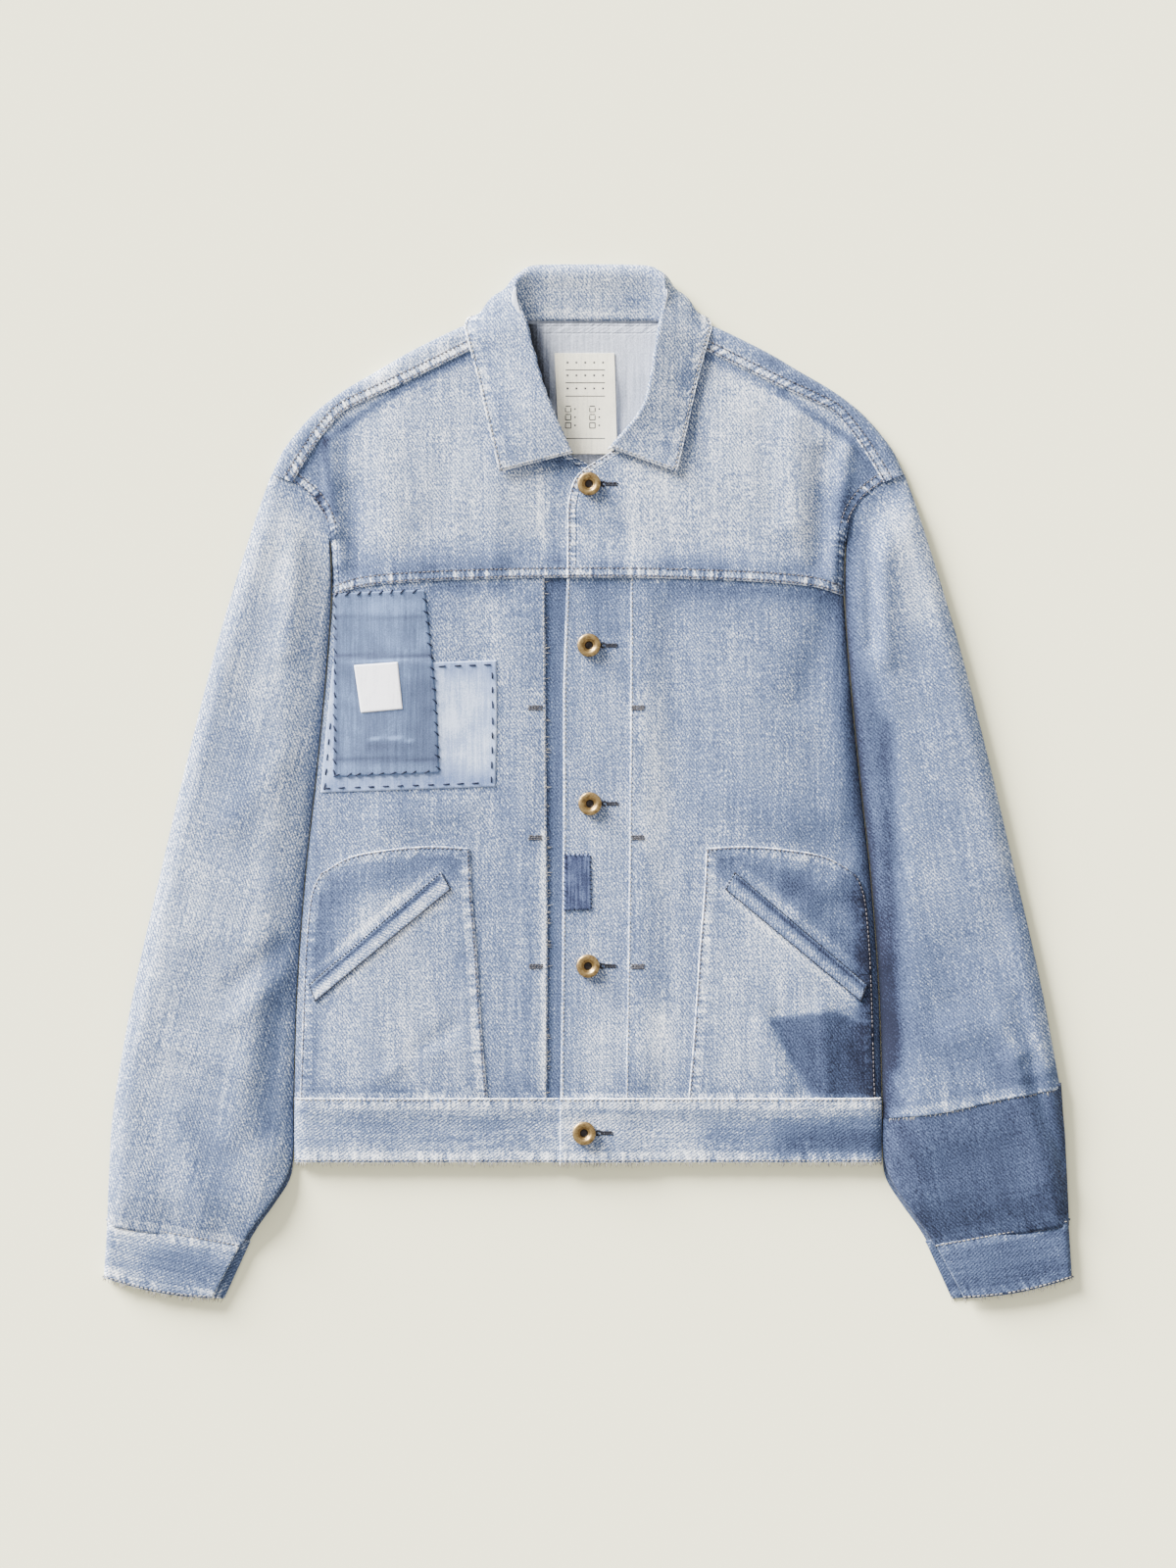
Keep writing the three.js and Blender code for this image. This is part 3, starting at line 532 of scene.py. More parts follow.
# outer face of cloth lying this far over the front, turned down at the side folds
def onFront(x, y, lift=0.0):
    reach = sideAt(y) - np.abs(x) + 90 * ease(176, 188, y)
    return foldMiddle + (frontTop + bodyRelief(x, y) + lift - foldMiddle) * rolled(reach, rollWidth)


# a pleat's fold lies over its band, pressed down at the yoke and the waistband
def pleatLift(x, y, edge, full):
    pressed = 1 - 0.3 * (ease(132, 150, y) + ease(-215, -228, y))
    return full * (1 - ease(6, 34, np.abs(x) - edge)) * pressed


def ripple(run, phase):  # uneven waves along a sewn edge
    return np.sin(0.78 * run + 2.1 * np.sin(0.17 * run + phase) + phase)


def mirrored(outline):  # the same outline for the wearer's right half
    swap = {"left": "right", "right": "left"}
    turned = {**outline, "left": flipped(outline["right"]), "right": flipped(outline["left"])}
    for edge in ("bottom", "top"):
        turned[edge] = flipped(outline[edge])[::-1]
    for key in ("hems", "rolls", "seams", "rims"):
        turned[key] = [swap.get(side, side) for side in outline.get(key, ())]
    for key in ("edges", "rows"):
        turned[key] = {swap.get(side, side): value for side, value in outline.get(key, {}).items()}
    if "lift" in outline:
        turned["lift"] = lambda x, y: outline["lift"](-x, y)
    return turned


def layFlat(look):  # the piece's grid in plan
    b, t, l, r = (look[key] for key in ("bottom", "top", "left", "right"))
    wide, tall = (sum(runLength(smoothLine(edge))[-1] for edge in pair) / 2 for pair in ((b, t), (l, r)))
    kind = {side: "roll" if side in look.get("rolls", ()) else "hem" if side in look.get("hems", ())
            else "plain"
            for side in ("left", "right", "bottom", "top")}
    step = look.get("step", 3.0)
    us, vs = spacing(wide, step, kind["left"], kind["right"]), spacing(tall, step, kind["bottom"],
        kind["top"])
    return coons(b, t, l, r, us, vs)


def frontPiece(look):
    flat = layFlat(look)
    x, y = flat[..., 0], flat[..., 1]
    gap = distances(flat)
    z = onFront(x, y, look["lift"](x, y))
    seam, run, rim = seamFields(np.dstack([flat, z]), gap, {**clothDefaults, **look})
    z = z + look.get("pucker", 0.22) * ripple(run, len(look["name"])) * np.exp(-seam / 7)
    for side in look["hems"]:
        z = z - rounded(gap[side], 1.1) * (ease(176, 188, y) if side in look.get("rolls", ()) else 1)
    return clothPiece(look, np.dstack([flat, z]))


# Back: flat on the table, turned up at the side folds and brought over both shoulders to the front seams.
backPanel = {
    "name": "backPanel", "node": "back", "slot": "denim_light", "cloth": denim, "tone": 0.76,
    "neckWidth": 66, "neckLift": 2.2, "step": 4.5, "bandRoll": 7.0,
    "seams": ["top"], "rims": ["top"], "rows": {"top": [2.0, 7.4]},
    "sewn": 2,
    # painted shadow: the dark stroke at x -45 to -34 is the collar leaf's shadow inside the neck; painted
    # light: the light strokes from x -70 to -200 lift the shade on the turned band over the wearer's right
    # shoulder
    "marks": [(160, 296, 215, 244, 10, -0.07), (100, 330, 140, 308, 5, -0.08), (130, 310, 165, 288, 6, -0.07),
              (-70, 330, -150, 296, 9, 0.12), (-150, 296, -200, 256, 9, 0.04),
              (-45, 334, -34, 284, 8.5, -0.55)],
}


def makeBack(look):
    corner = look["neckWidth"]
    fold = shape["shoulderFold"]
    top = fold[::-1] + [(50, 336.9), (0, 336.9), (-50, 336.9)] + flipped(fold)
    edge = [(215.5, -236)] + shape["sideFold"][2:] + shape["armhole"][1:]
    line = smoothLine(top)
    run = runLength(line) / runLength(line)[-1]
    turn = run[np.argmin(np.hypot(line[:, 0] - corner, line[:, 1] - 341))]
    shoulder = spacing(212, look["step"], "roll", "plain") * turn
    neck = np.linspace(turn, 1 - turn, 31)[1:-1]
    us = np.concatenate([shoulder, neck, 1 - shoulder[::-1]])
    flat = coons([(215.5, -236), (-215.5, -236)], top, edge, flipped(edge), us,
                 spacing(560, look["step"], "plain", "roll"))
    gap, x, y = distances(flat), flat[..., 0], flat[..., 1]
    wrapped = ease(corner - 8, corner + 2, np.abs(flat[-1, :, 0]))[None]
    sideRoll = rolled(np.minimum(gap["left"], gap["right"]) + 40 * ease(176, 188, y), rollWidth)
    topRoll = 1 - (1 - rolled(gap["top"], look["bandRoll"])) * wrapped
    neckLift = look["neckLift"] * (1 - ease(94, 128, np.abs(x))) * ease(272, 304, y)
    under = np.dstack([flat, foldMiddle - (foldMiddle - neckLift) * sideRoll * topRoll])

    seam = pointsAt(smoothLine(shape["shoulderSeam"][::-1]), shoulder / turn)
    seamRow = np.concatenate([seam, flat[-1, len(shoulder):-len(shoulder)], seam[::-1] * [-1, 1]])
    shares = [0.02, 0.06, 0.12, 0.2, 0.3, 0.42, 0.54, 0.66, 0.78, 0.86, 0.91, 0.95, 0.98, 1]
    ts = np.array(shares)[:, None, None]
    over = flat[-1] * (1 - ts) + seamRow * ts
    far = np.linalg.norm(over - flat[-1], axis=2)
    level = frontTop + bodyRelief(over[..., 0], over[..., 1]) + 1.7
    z = foldMiddle + (level - foldMiddle) * rolled(far, look["bandRoll"]) - rounded(far[-1] - far, 1.0)
    z = np.where(wrapped > 0.99, z, under[-1, :, 2])
    keep = np.ones((len(flat) + len(ts) - 1, len(us) - 1), bool)
    keep[len(flat) - 1:, len(shoulder) - 1:-len(shoulder) + 1] = False
    return clothPiece({**look, "mask": keep}, np.concatenate([under, np.dstack([over, z])]))


makeBack(backPanel)
print("back laid")


# Front yokes: from the free edge and the neck to the side fold, the armhole and the shoulder seam.
def yokeOutline(freeEdge, lift):
    return {
        "bottom": [(freeEdge[0][0], 150)] + shape["chestSeam"][1:],
        "top": [(x, y + 5) for x, y in shape["shoulderSeam"]],
        "left": freeEdge + shape["neckline"][:-1] + [(66, 332)],
        "right": [(188, 136.5), (188.2, 165)] + shape["armhole"][:6] + [(219, 223)],
        "hems": ["bottom", "left", "right"], "rolls": ["right"], "seams": ["bottom", "right", "left"],
        "rims": ["bottom", "left"], "lift": lift, "slot": "denim_light", "cloth": denim,
    }


def leftYokeLift(x, y):
    foot, middle = 1 - ease(3, 30, y - chestAt(x)), 1 - ease(34, 64, x)
    armhole = 1.1 * ease(-14, 0, (x - 6 - y) / 1.41) * ease(176, 188, y)
    return 0.3 + 1.6 * (1 - ease(30, 66, x)) * (1 - foot) + foot * (1.2 + 2.4 * middle) + armhole


def rightYokeLift(x, y):
    foot, middle = 1 - ease(3, 30, y - chestAt(x)), 1 - ease(38, 60, x)
    armhole = 1.1 * ease(-14, 0, (x - 6 - y) / 1.41) * ease(176, 188, y)
    return 0.3 + foot * (1.1 + 1.0 * middle) + armhole


yokeLeft = {
    **yokeOutline([(-15.4, 150), (-15, 185), (-14.6, 205), (-8, 225)], leftYokeLift),
    # painted shade: the edge darkening at the armhole side is the groove between yoke and sleeve
    "edges": {"right": (4.5, -0.16)}, "name": "yokeLeft", "node": "yoke_left", "tone": 0.8,
    "lies": ["yokeRight"],
    "rows": {"bottom": [2.0, 7.4], "right": [2.0, 7.4], "left": [2.2]},
    "sewn": 2,
    # painted shade in the marks: the stroke from (204, 240) to (190, 200) along the fold below the shoulder,
    # and the thin strokes along the shoulder seam, which paint the shadow under the back's turned edge
    "marks": [(60, 160, 180, 151, 10, -0.07), (204, 240, 190, 200, 13, -0.18),
              (186, 208, 182, 160, 5, -0.10), (120, 300, 90, 250, 30, 0.02), (183, 236, 178, 150, 5, 0.03),
              (170, 214, 171, 150, 6, -0.07), (8, 156, 26, 156, 7, -0.09), (10, 215, 20, 185, 12, -0.06),
              (32.4, 236, 32.4, 156, 1.8, 0.09), (70, 300, 84, 230, 9, -0.05),
              (182, 236, 176, 168, 5, -0.05), (66, 323, 142, 285.5, 2.6, -0.2),
              (142, 285.5, 192, 251, 2.6, -0.22), (192, 251, 213, 222, 3, -0.08),
              (44, 158, 100, 157, 5, -0.06)],
}
yokeRight = {
    **mirrored(yokeOutline([(-18, 150), (-17, 185), (-13, 212), (-2, 231)], rightYokeLift)),
    # painted shade: the edge darkening at the armhole side is the groove between yoke and sleeve
    "edges": {"left": (2.5, -0.12)}, "name": "yokeRight", "node": "yoke_right", "tone": 0.775,
    "lies": ["backPanel"],
    "rows": {"bottom": [2.0, 7.4], "left": [2.0, 7.4]},
    "sewn": 2,
    # painted shade in the marks: the dark strokes near x -186 to -199 below the armhole paint the shadowed
    # fold there, and the thin strokes along the shoulder seam the shadow under the back's turned edge
    "marks": [(-60, 164, -180, 154, 13, -0.09), (-186, 236, -183, 160, 5, 0.05),
              (-172, 214, -172, 160, 6, -0.06), (-40, 170, -22, 160, 9, -0.08),
              (-24, 220, -24, 160, 5, -0.06), (-110, 210, -90, 180, 24, 0.02),
              (-36.5, 236, -31.8, 152, 1.8, 0.09), (-26, 236, 10, 222, 9, -0.1),
              (-140, 152, -60, 157, 6, -0.07), (-197, 210, -191, 145, 4, -0.42),
              (-66, 323, -142, 285.5, 2.6, -0.2), (-142, 285.5, -192, 251, 2.6, -0.22),
              (-192, 251, -213, 222, 3, -0.14), (-193, 250, -186, 198, 3, -0.22),
              (-194, 246, -199, 222, 7, -0.08), (-176, 262, -184, 214, 6, -0.07),
              (-66, 238, -30, 250, 4, -0.12)],
}
frontPiece(yokeRight)
frontPiece(yokeLeft)


# Front panels: from the folded edge of the pleat to the side fold.
def panelOutline(pleatEdge, full):
    side = [(215.5, -236), (213, -150), (207, -68), (199.5, 0), (192.5, 70), (187.5, 136), (187.4, 141.5)]
    edge = [(float(pleatEdge(y)), y) for y in (-236, -109, -33, 60, 155)]
    return {
        "bottom": [edge[0], (215.5, -236)], "top": [edge[-1]]
        + [(x, y + 5) for x, y in shape["chestSeam"][2:-1]] + [side[-1]],
        "left": edge, "right": side, "hems": ["left"], "rolls": ["right"], "seams": ["bottom", "top"],
        "rims": ["left"],
        "lift": lambda x, y: pleatLift(x, y, pleatEdge(y), full), "slot": "denim_light", "cloth": denim,
    }


frontLeft = {
    **panelOutline(leftPleatAt, 3.0),
    # painted shade: the right edge and the stroke along x 190 to 205 darken the body where it rolls away from
    # the light beside the sleeve
    "edges": {"right": (10, -0.34)}, "name": "frontLeft", "node": "front_left", "tone": 0.715,
    "lies": ["bandLeft"], "rows": {"left": [1.8]},
    "marks": [(44, 60, 50, -40, 12, 0.07), (52, -170, 56, -225, 12, 0.1), (110, -15, 170, -36, 16, -0.06),
              (176, 140, 160, 60, 16, -0.02), (60, 141, 170, 138, 7, -0.07), (205, -60, 190, 60, 12, -0.07),
              (60, -60, 66, -150, 10, 0.04)],
}
frontRight = {
    **mirrored(panelOutline(rightPleatAt, 1.5)),
    "name": "frontRight", "node": "front_right", "tone": 0.715, "lies": ["bandRight"],
    "rows": {"right": [1.8]},
    "marks": [(-70, 130, -60, 90, 16, 0.03), (-44, 60, -46, -60, 7, 0.04), (-33, -36, -33, -222, 2.4, 0.16),
              (-44, -30, -44, -222, 3, -0.05), (-200, 120, -206, -90, 9, -0.05),
              (-130, -20, -100, -30, 14, -0.03), (-60, 144, -110, 144, 5, -0.06)],
}
frontPiece(frontRight)
frontPiece(frontLeft)


# Front bands: the left one laps over the right one and carries the buttonholes.
def bandOutline(leftAt, rightAt, lift):
    ys = (-236, -93, -10, 70, 155)
    left, right = ([(float(at(y)), y) for y in ys] for at in (leftAt, rightAt))
    return {"bottom": [left[0], right[0]], "top": [left[-1], right[-1]], "left": left, "right": right,
            "rolls": [],
            "seams": ["bottom", "top"], "lift": lambda x, y: lift, "cloth": denim, "slot": "denim_band"}


bandRight = {
    **bandOutline(lambda y: -36, lambda y: 18, 0.0),
    "name": "bandRight", "node": "band_right", "tone": 0.6, "hems": ["right"], "rims": ["right"],
    "lies": ["backPanel"],
    "marks": [(-25, 140, -25, 70, 6, -0.05), (-25, 40, -25, -50, 6, -0.03), (-25, -140, -25, -220, 7, 0.04)],
}
bandLeft = {
    **bandOutline(bandEdgeAt, lambda y: 36, 1.6),
    "name": "bandLeft", "node": "band_left", "tone": 0.735, "hems": ["left"], "rims": ["left"],
    "lies": ["bandRight"],
    "rows": {"left": [2.2]},
    "marks": [(8, 138, 8, 112, 13, -0.1), (8, 80, 26, 80, 8, -0.03), (8, -186, 8, -226, 14, 0.09),
              (24, 120, 24, 60, 5, -0.04), (-12, 130, -12, 20, 3, -0.04)],
}
frontPiece(bandRight)
frontPiece(bandLeft)
print("fronts laid")


# Waistband: one back length and two front ends that lap at the middle.
def waistOutline(start, lap):
    return {
        "bottom": [(start, -278.5), (215.5, -278.5)], "top": [(start, -231), (215.5, -231)],
        "left": [(start, -278.5), (start, -231)], "right": [(215.5, -278.5), (215.5, -231)],
        "hems": ["left", "bottom", "top"], "rolls": ["right"], "seams": ["top", "bottom"],
        "rims": ["bottom", "top"],
        "lift": lambda x, y: 2.0 + 1.2 * (1 - ease(5, 20, -231 - y)) + lap(x), "thick": 1.8,
        "slot": "denim_light", "cloth": denim, "grain": 90, "step": 2.6, "sewn": 1,
        "rows": {"top": [2.0], "bottom": [2.4]},
    }


waistLeft = {
    **waistOutline(-20.8, lambda x: 2.0 * (1 - ease(22, 50, x))),
    "name": "waistLeft", "node": "waistband_left", "tone": 0.83, "lies": ["waistRight"],
    "marks": [(96, -258, 210, -258, 14, -0.14), (150, -262, 205, -262, 14, -0.2),
              (100, -242, 206, -242, 4, 0.03), (-8, -258, -8, -272, 5, -0.05), (30, -268, 90, -268, 8, 0.03)],
}
waistRight = {
    **mirrored(waistOutline(-18, lambda x: 0.0)),
    "name": "waistRight", "node": "waistband_right", "tone": 0.77, "lies": ["waistBack"],
    "marks": [(-190, -252, -60, -252, 9, -0.035), (-200, -240, -30, -240, 4, 0.06),
              (-205, -272, -30, -272, 6, 0.07)],
}
waistBack = {
    "name": "waistBack", "node": "waistband_back", "tone": 0.74, "thick": 1.8, "slot": "denim_light",
    "cloth": denim,
    "bottom": [(215.5, -278.5), (-215.5, -278.5)], "top": [(215.5, -231), (-215.5, -231)],
    "left": [(215.5, -278.5), (215.5, -231)], "right": [(-215.5, -278.5), (-215.5, -231)],
    "hems": ["bottom", "top"], "rolls": ["left", "right"], "seams": ["top", "bottom"], "rims": ["bottom"],
    "grain": 90, "step": 4.5,
}


def layUnder(look):  # cloth whose outer face lies on the table and turns up at both side folds
    flat = layFlat(look)
    gap = distances(flat)
    z = foldMiddle * (1 - rolled(gap["left"], rollWidth) * rolled(gap["right"], rollWidth))
    return clothPiece(look, np.dstack([flat, z]))


layUnder(waistBack)
frontPiece(waistRight)
frontPiece(waistLeft)
print("waistband laid")


# Sleeves: an upper and an under layer sewn along both folds and open at the slit by the cuff.
slitUpper = [(255.2, -341.5), (245, -325), (233, -309), (221, -289)]
slitUnder = [(251, -340.5), (241.5, -325), (230, -309), (218.5, -290)]
innerFold = [(216.1, -268), (216.1, -231), (213.7, -150), (207.7, -68), (200.2, 0), (193.3, 70),
             (188.6, 136), (190.0, 178)]
outerFold = shape["sleeveOuter"]
sleeveHead = [(190, 184), (189.4, 194), (192.5, 203.5), (198.5, 212), (206, 219), (214, 224.5), (223, 227),
              (232, 226)]
darkLine = [(216.1, -246.9), (259, -242), (302, -232.5), (346.3, -224.5)]
sleeveCreases = {
    1: [(206, 190, 208, 100, 5, -2.4), (216, 190, 218, 90, 7, 2.0), (238, 186, 240, 86, 14, -1.3),
        (258, 30, 292, -70, 18, 1.4), (300, -120, 324, -40, 18, -1.2), (322, -205, 349, -282, 5, -2.2),
        (310, -205, 334, -290, 8, 1.8), (214, 40, 230, -60, 9, -1.2), (228, -200, 300, -170, 14, 1.0),
        (230, -270, 300, -250, 12, 0.9), (270, -120, 250, -190, 14, -1.0), (300, -176, 318, -214, 5, 1.3),
        (314, -160, 328, -205, 5, -1.2), (222, -120, 262, -150, 8, 1.2), (222, -140, 256, -180, 7, -1.2)],
    -1: [(-212, 190, -222, 96, 8, 1.8), (-230, 160, -250, 60, 14, -1.5), (-222, 20, -262, -30, 12, 1.3),
         (-240, -60, -290, -40, 15, -1.1), (-228, -170, -240, -260, 9, -1.8),
         (-246, -170, -262, -260, 9, 1.2), (-300, -120, -330, -190, 18, 1.4), (-290, 20, -276, 90, 14, 1.2),
         (-250, -120, -310, -90, 14, 0.9), (-224, -118, -262, -150, 7, -1.5),
         (-222, -140, -262, -176, 7, 1.3), (-300, -190, -250, -214, 9, 1.0),
         (-300, -240, -280, -320, 8, 1.1), (-322, -240, -306, -320, 8, -0.9)],
}


def sleeveRelief(x, y, side):
    swell = 6.5 * ease(-6, 30, np.abs(x) - innerAt(y)) * ease(-14, 14, outerAt(y) - np.abs(x)) * ease(-352,
        -296, y)
    creases = strokes(x, y, sleeveCreases[side])
    return (swell + creases) * ease(0, 36, (np.abs(x) - 6 - y) / 1.41)


# 0 at the folds, 1 where the sleeve lies flat; the slit's edges aren't folded
def sleeveRolls(gap, y, folds):
    inner, outer = folds
    slit = ease(-296, -272, y)
    return (1 - (1 - rolled(gap[inner], rollWidth)) * slit) * rolled(gap[outer], rollWidth)


def foldAt(gap, y, outer):  # the outer fold stands higher over the table than the inner one
    return foldMiddle + 3.2 * ease(60, 20, gap[outer]) * ease(-345, -300, y) * ease(226, 180, y)


def sleevePiece(look, side):
    flat = layFlat(look)
    y, gap = flat[..., 1], distances(flat)
    folds = ("left", "right") if side > 0 else ("right", "left")
    top = frontTop + sleeveRelief(flat[..., 0], y, side) + look.get("lift", lambda x, y: 0)(flat[..., 0], y)
    fold = foldAt(gap, y, folds[1])
    z = fold + (top - fold) * sleeveRolls(gap, y, folds)
    z = z - rounded(gap[folds[0]], 1.1) * (1 - ease(-296, -272, y))
    for edge in look.get("hems", ()):
        z = z - rounded(gap[edge], 1.1)
    return clothPiece(look, np.dstack([flat, z]))


def sleeveUnder(look, side):
    flat = layFlat(look)
    folds = ("left", "right") if side > 0 else ("right", "left")
    gap, y = distances(flat), flat[..., 1]
    z = foldAt(gap, y, folds[1]) * (1 - sleeveRolls(gap, y, folds))
    return clothPiece(look, np.dstack([flat, z])[:, ::-1])


def sleeveOutline(slit, foot, footInner, head):
    return {"left": slit + footInner, "right": foot[-1:] + head, "bottom": foot, "top": sleeveHead,
            "rolls": ["left", "right"], "slot": "denim_sleeve", "cloth": denim}


wristLine = [(255.2, -341.5), (353, -325)]
wholeSleeve = sleeveOutline(slitUpper, wristLine, innerFold + [(190, 184)], outerFold)
underSleeve = {**sleeveOutline(slitUnder, [(251, -340.5), (353, -325)], innerFold + [(190, 184)],
                               outerFold), "step": 5.0}
upperHalf = sleeveOutline([(216.1, -246.9)], darkLine, innerFold[1:] + [(190, 184)], outerFold[3:])
lowerHalf = {
    "left": slitUpper + [(216.1, -268), (216.1, -242.5)], "right": [(353, -325), (350.8, -281),
        (346.9, -220)],
    "bottom": wristLine, "top": [(216.1, -242.5), (259, -237.8), (302, -228.3), (346.9, -220)],
    "rolls": ["left", "right"], "slot": "denim_dark", "cloth": denim,
}
sleeveLeftUpper = {
    # painted shade: the left edge and the dark strokes along it, from x 208 to 224, are the body's shadow on
    # the sleeve beside it
    **upperHalf, "edges": {"left": (9, -0.6)}, "name": "sleeveLeftUpper", "node": "sleeve_left_upper",
    "tone": 0.7, "grain": 13, "hems": ["bottom"],
    "rims": ["bottom"], "seams": ["top", "bottom"], "lift": lambda x, y: 0.9 * ease(-160, -236, y),
    "lies": ["sleeveLeftLower"],
    "marks": [(230, 190, 244, 130, 20, 0.11), (208, 70, 214, 10, 7, -0.1), (250, -130, 320, -180, 30, -0.05),
              (230, -180, 330, -218, 16, -0.11), (218, -100, 222, -225, 8, -0.08),
              (262, 30, 300, -60, 16, 0.03), (219, 40, 224, -205, 6, -0.2), (330, -170, 338, -205, 8, 0.05),
              (306, -182, 324, -212, 1.8, 0.12), (284, -206, 292, -232, 1.6, 0.10),
              (258, -216, 264, -240, 1.6, 0.10), (322, -180, 336, -208, 1.8, 0.11),
              (224, -214, 236, -240, 2.0, 0.10), (222, -243, 345, -224, 1.6, 0.08)],
}
sleeveLeftLower = {
    **lowerHalf, "name": "sleeveLeftLower", "node": "sleeve_left_lower", "tone": 0.445, "grain": 13,
    "seams": ["bottom"],
    "lies": ["sleeveLeftUnder"],
    "marks": [(228, -262, 244, -316, 10, -0.04), (324, -213, 347, -282, 4, 0.08),
              (240, -244, 340, -226, 2.4, 0.07), (280, -250, 300, -320, 18, 0.02),
              (222, -256, 254, -312, 4, 0.06), (232, -256, 243, -290, 8, -0.07),
              (262, -331, 340, -316, 3, 0.10), (346, -226, 349, -290, 4, -0.04)],
}
sleeveLeftUnder = {
    **underSleeve, "name": "sleeveLeftUnder", "node": "sleeve_left_under", "tone": 0.56, "grain": 13,
    "seams": ["top"],
    "inner": 0.1,
}
sleeveRightUpper = {
    # painted shade: a narrow dark band along the inner fold, the groove beside the body
    **mirrored(wholeSleeve), "edges": {"right": (4.5, -0.13)}, "name": "sleeveRightUpper",
    "node": "sleeve_right_upper", "tone": 0.765, "grain": -13,
    "seams": ["top", "bottom"], "lies": ["sleeveRightUnder"],
    "marks": [(-222, 190, -232, 150, 18, 0.06), (-244, 20, -256, -20, 16, -0.05),
              (-226, -120, -234, -250, 10, -0.13), (-290, -240, -270, -300, 22, -0.05),
              (-300, -60, -310, -140, 22, 0.02), (-262, -330, -340, -314, 8, 0.03),
              (-286, -290, -250, -250, 16, -0.03)],
}
sleeveRightUnder = {
    **mirrored(underSleeve), "name": "sleeveRightUnder", "node": "sleeve_right_under", "tone": 0.6,
    "grain": -13,
    "seams": ["top"], "inner": 0.1,
}
sleeveUnder(sleeveLeftUnder, 1)
sleeveUnder(sleeveRightUnder, -1)
sleevePiece(sleeveRightUpper, -1)
sleevePiece(sleeveLeftLower, 1)
sleevePiece(sleeveLeftUpper, 1)
print("sleeves laid")


# Cuffs: one doubled band each, from the front end over the outer fold to the end below it.
def makeCuff(look, side):
    seam, foot = ((254.4, -338.2), (352.4, -320)), ((275.8, -378.2), (355.2, -363.2))
    underEnd = ((247.6, -336.4), (267.2, -379))
    ts = 1 - spacing(96, 3.0, "roll", "hem", 5.0)[::-1]
    ts = np.sort(ts)
    rows = spacing(44, 2.6, "hem", "hem")
    columns = []
    for end, points in ((0, ts), (1, ts[::-1][1:])):
        for t in points:
            starts = (foot[0], seam[0]) if end == 0 else (underEnd[1], underEnd[0])
            low = np.array(starts[0]) * (1 - t) + np.array(foot[1]) * t - [0, 3.2 * math.sin(math.pi * t)]
            high = np.array(starts[1]) * (1 - t) + np.array(seam[1]) * t
            turn = float(rolled((1 - t) * 96, 5.0))
            z = foldMiddle + 0.6 + turn * (3.9 + look["swell"] * math.sin(math.pi * t) if end == 0 else -3.7)
            line = low * (1 - rows[:, None]) + high * rows[:, None]
            columns.append(np.column_stack([line, np.full(len(rows), z)]))
    grid = np.stack(columns, 1)
    gap = distances(grid)
    front = np.arange(grid.shape[1]) < len(ts)
    fall = rounded(gap["bottom"], 1.2) + rounded(gap["top"], 1.2) + rounded(gap["left"], 1.2)
    bulge = look["swell"] * np.sin(np.pi * rows)[:, None]
    grid[..., 2] += np.where(front[None], bulge - fall, rounded(gap["bottom"], 1.2)
                             + rounded(gap["top"], 1.2))
    if side < 0:
        grid = grid[:, ::-1] * [-1, 1, 1]
    return clothPiece(look, grid)


cuffLeft = {
    "name": "cuffLeft", "node": "cuff_left", "slot": "denim_dark", "cloth": denim, "thick": 1.8,
    "grain": 100, "tone": 0.54,
    "inner": 0.0,     "swell": 0.5, "seams": ["top", "bottom"], "rims": ["bottom", "left", "top"],
    "lies": ["sleeveLeftLower"],
    "sewn": 1, "rows": {"top": [2.0], "bottom": [2.2]},
    "marks": [(262, -341, 350, -324.5, 1.6, 0.14), (262, -350, 345, -334, 5, 0.03),
              (330, -330, 350, -345, 10, 0.03)],
}
cuffRight = {
    "name": "cuffRight", "node": "cuff_right", "slot": "denim_light", "cloth": denim, "thick": 1.8,
    "grain": -100,
    "inner": 0.0, "tone": 0.68, "swell": 0.5, "seams": ["top", "bottom"],
    "rims": ["bottom", "right", "top"], "lies": ["sleeveRightUpper"],
    "sewn": 1, "rows": {"top": [2.0], "bottom": [2.2]},
    "marks": [(-262, -341, -350, -324.5, 1.6, 0.12), (-262, -346, -345, -330, 5, 0.08),
              (-335, -335, -350, -352, 22, 0.1), (-290, -352, -312, -348, 12, -0.05),
              (-275, -372, -350, -358, 5, 0.1)],
}
makeCuff(cuffLeft, 1)
makeCuff(cuffRight, -1)
print("cuffs laid")


# Patch pockets, each with a slanting welt.
pocketOutline = {
    "left": [(73, -236), (77, -190), (80, -145), (82, -116), (85, -80), (85.8, -62), (86.4, -48)],
    "right": [(211.4, -236), (209.8, -188), (208.4, -145), (206.8, -116), (204, -88), (200, -74), (195, -66)],
    "bottom": [(73, -236), (211.4, -236)],
    "top": [(86.4, -48), (115, -46.6), (144, -48.8), (172.8, -54), (195, -66)],
    "hems": ["left", "right", "top"], "seams": ["left", "right", "top", "bottom"],
    "rims": ["left", "right", "top"],
    "lift": lambda x, y: 1.3, "slot": "denim_light", "cloth": denim, "sewn": 1,
    "rows": {"left": [2.0], "right": [2.0], "top": [2.0]},
}
weltOutline = {
    "left": [(100.5, -78.1), (107.3, -65.5)], "right": [(199.8, -160.3), (204.5, -148)],
    "bottom": [(100.5, -78.1), (199.8, -160.3)], "top": [(107.3, -65.5), (204.5, -148)],
    "hems": ["left", "right", "top", "bottom"], "seams": ["top", "bottom"],
    "rims": ["top", "bottom", "left", "right"],
    "lift": lambda x, y: 2.7, "slot": "denim_band", "cloth": denim, "step": 2.2, "pucker": 0.04, "wear": 0.35,
}
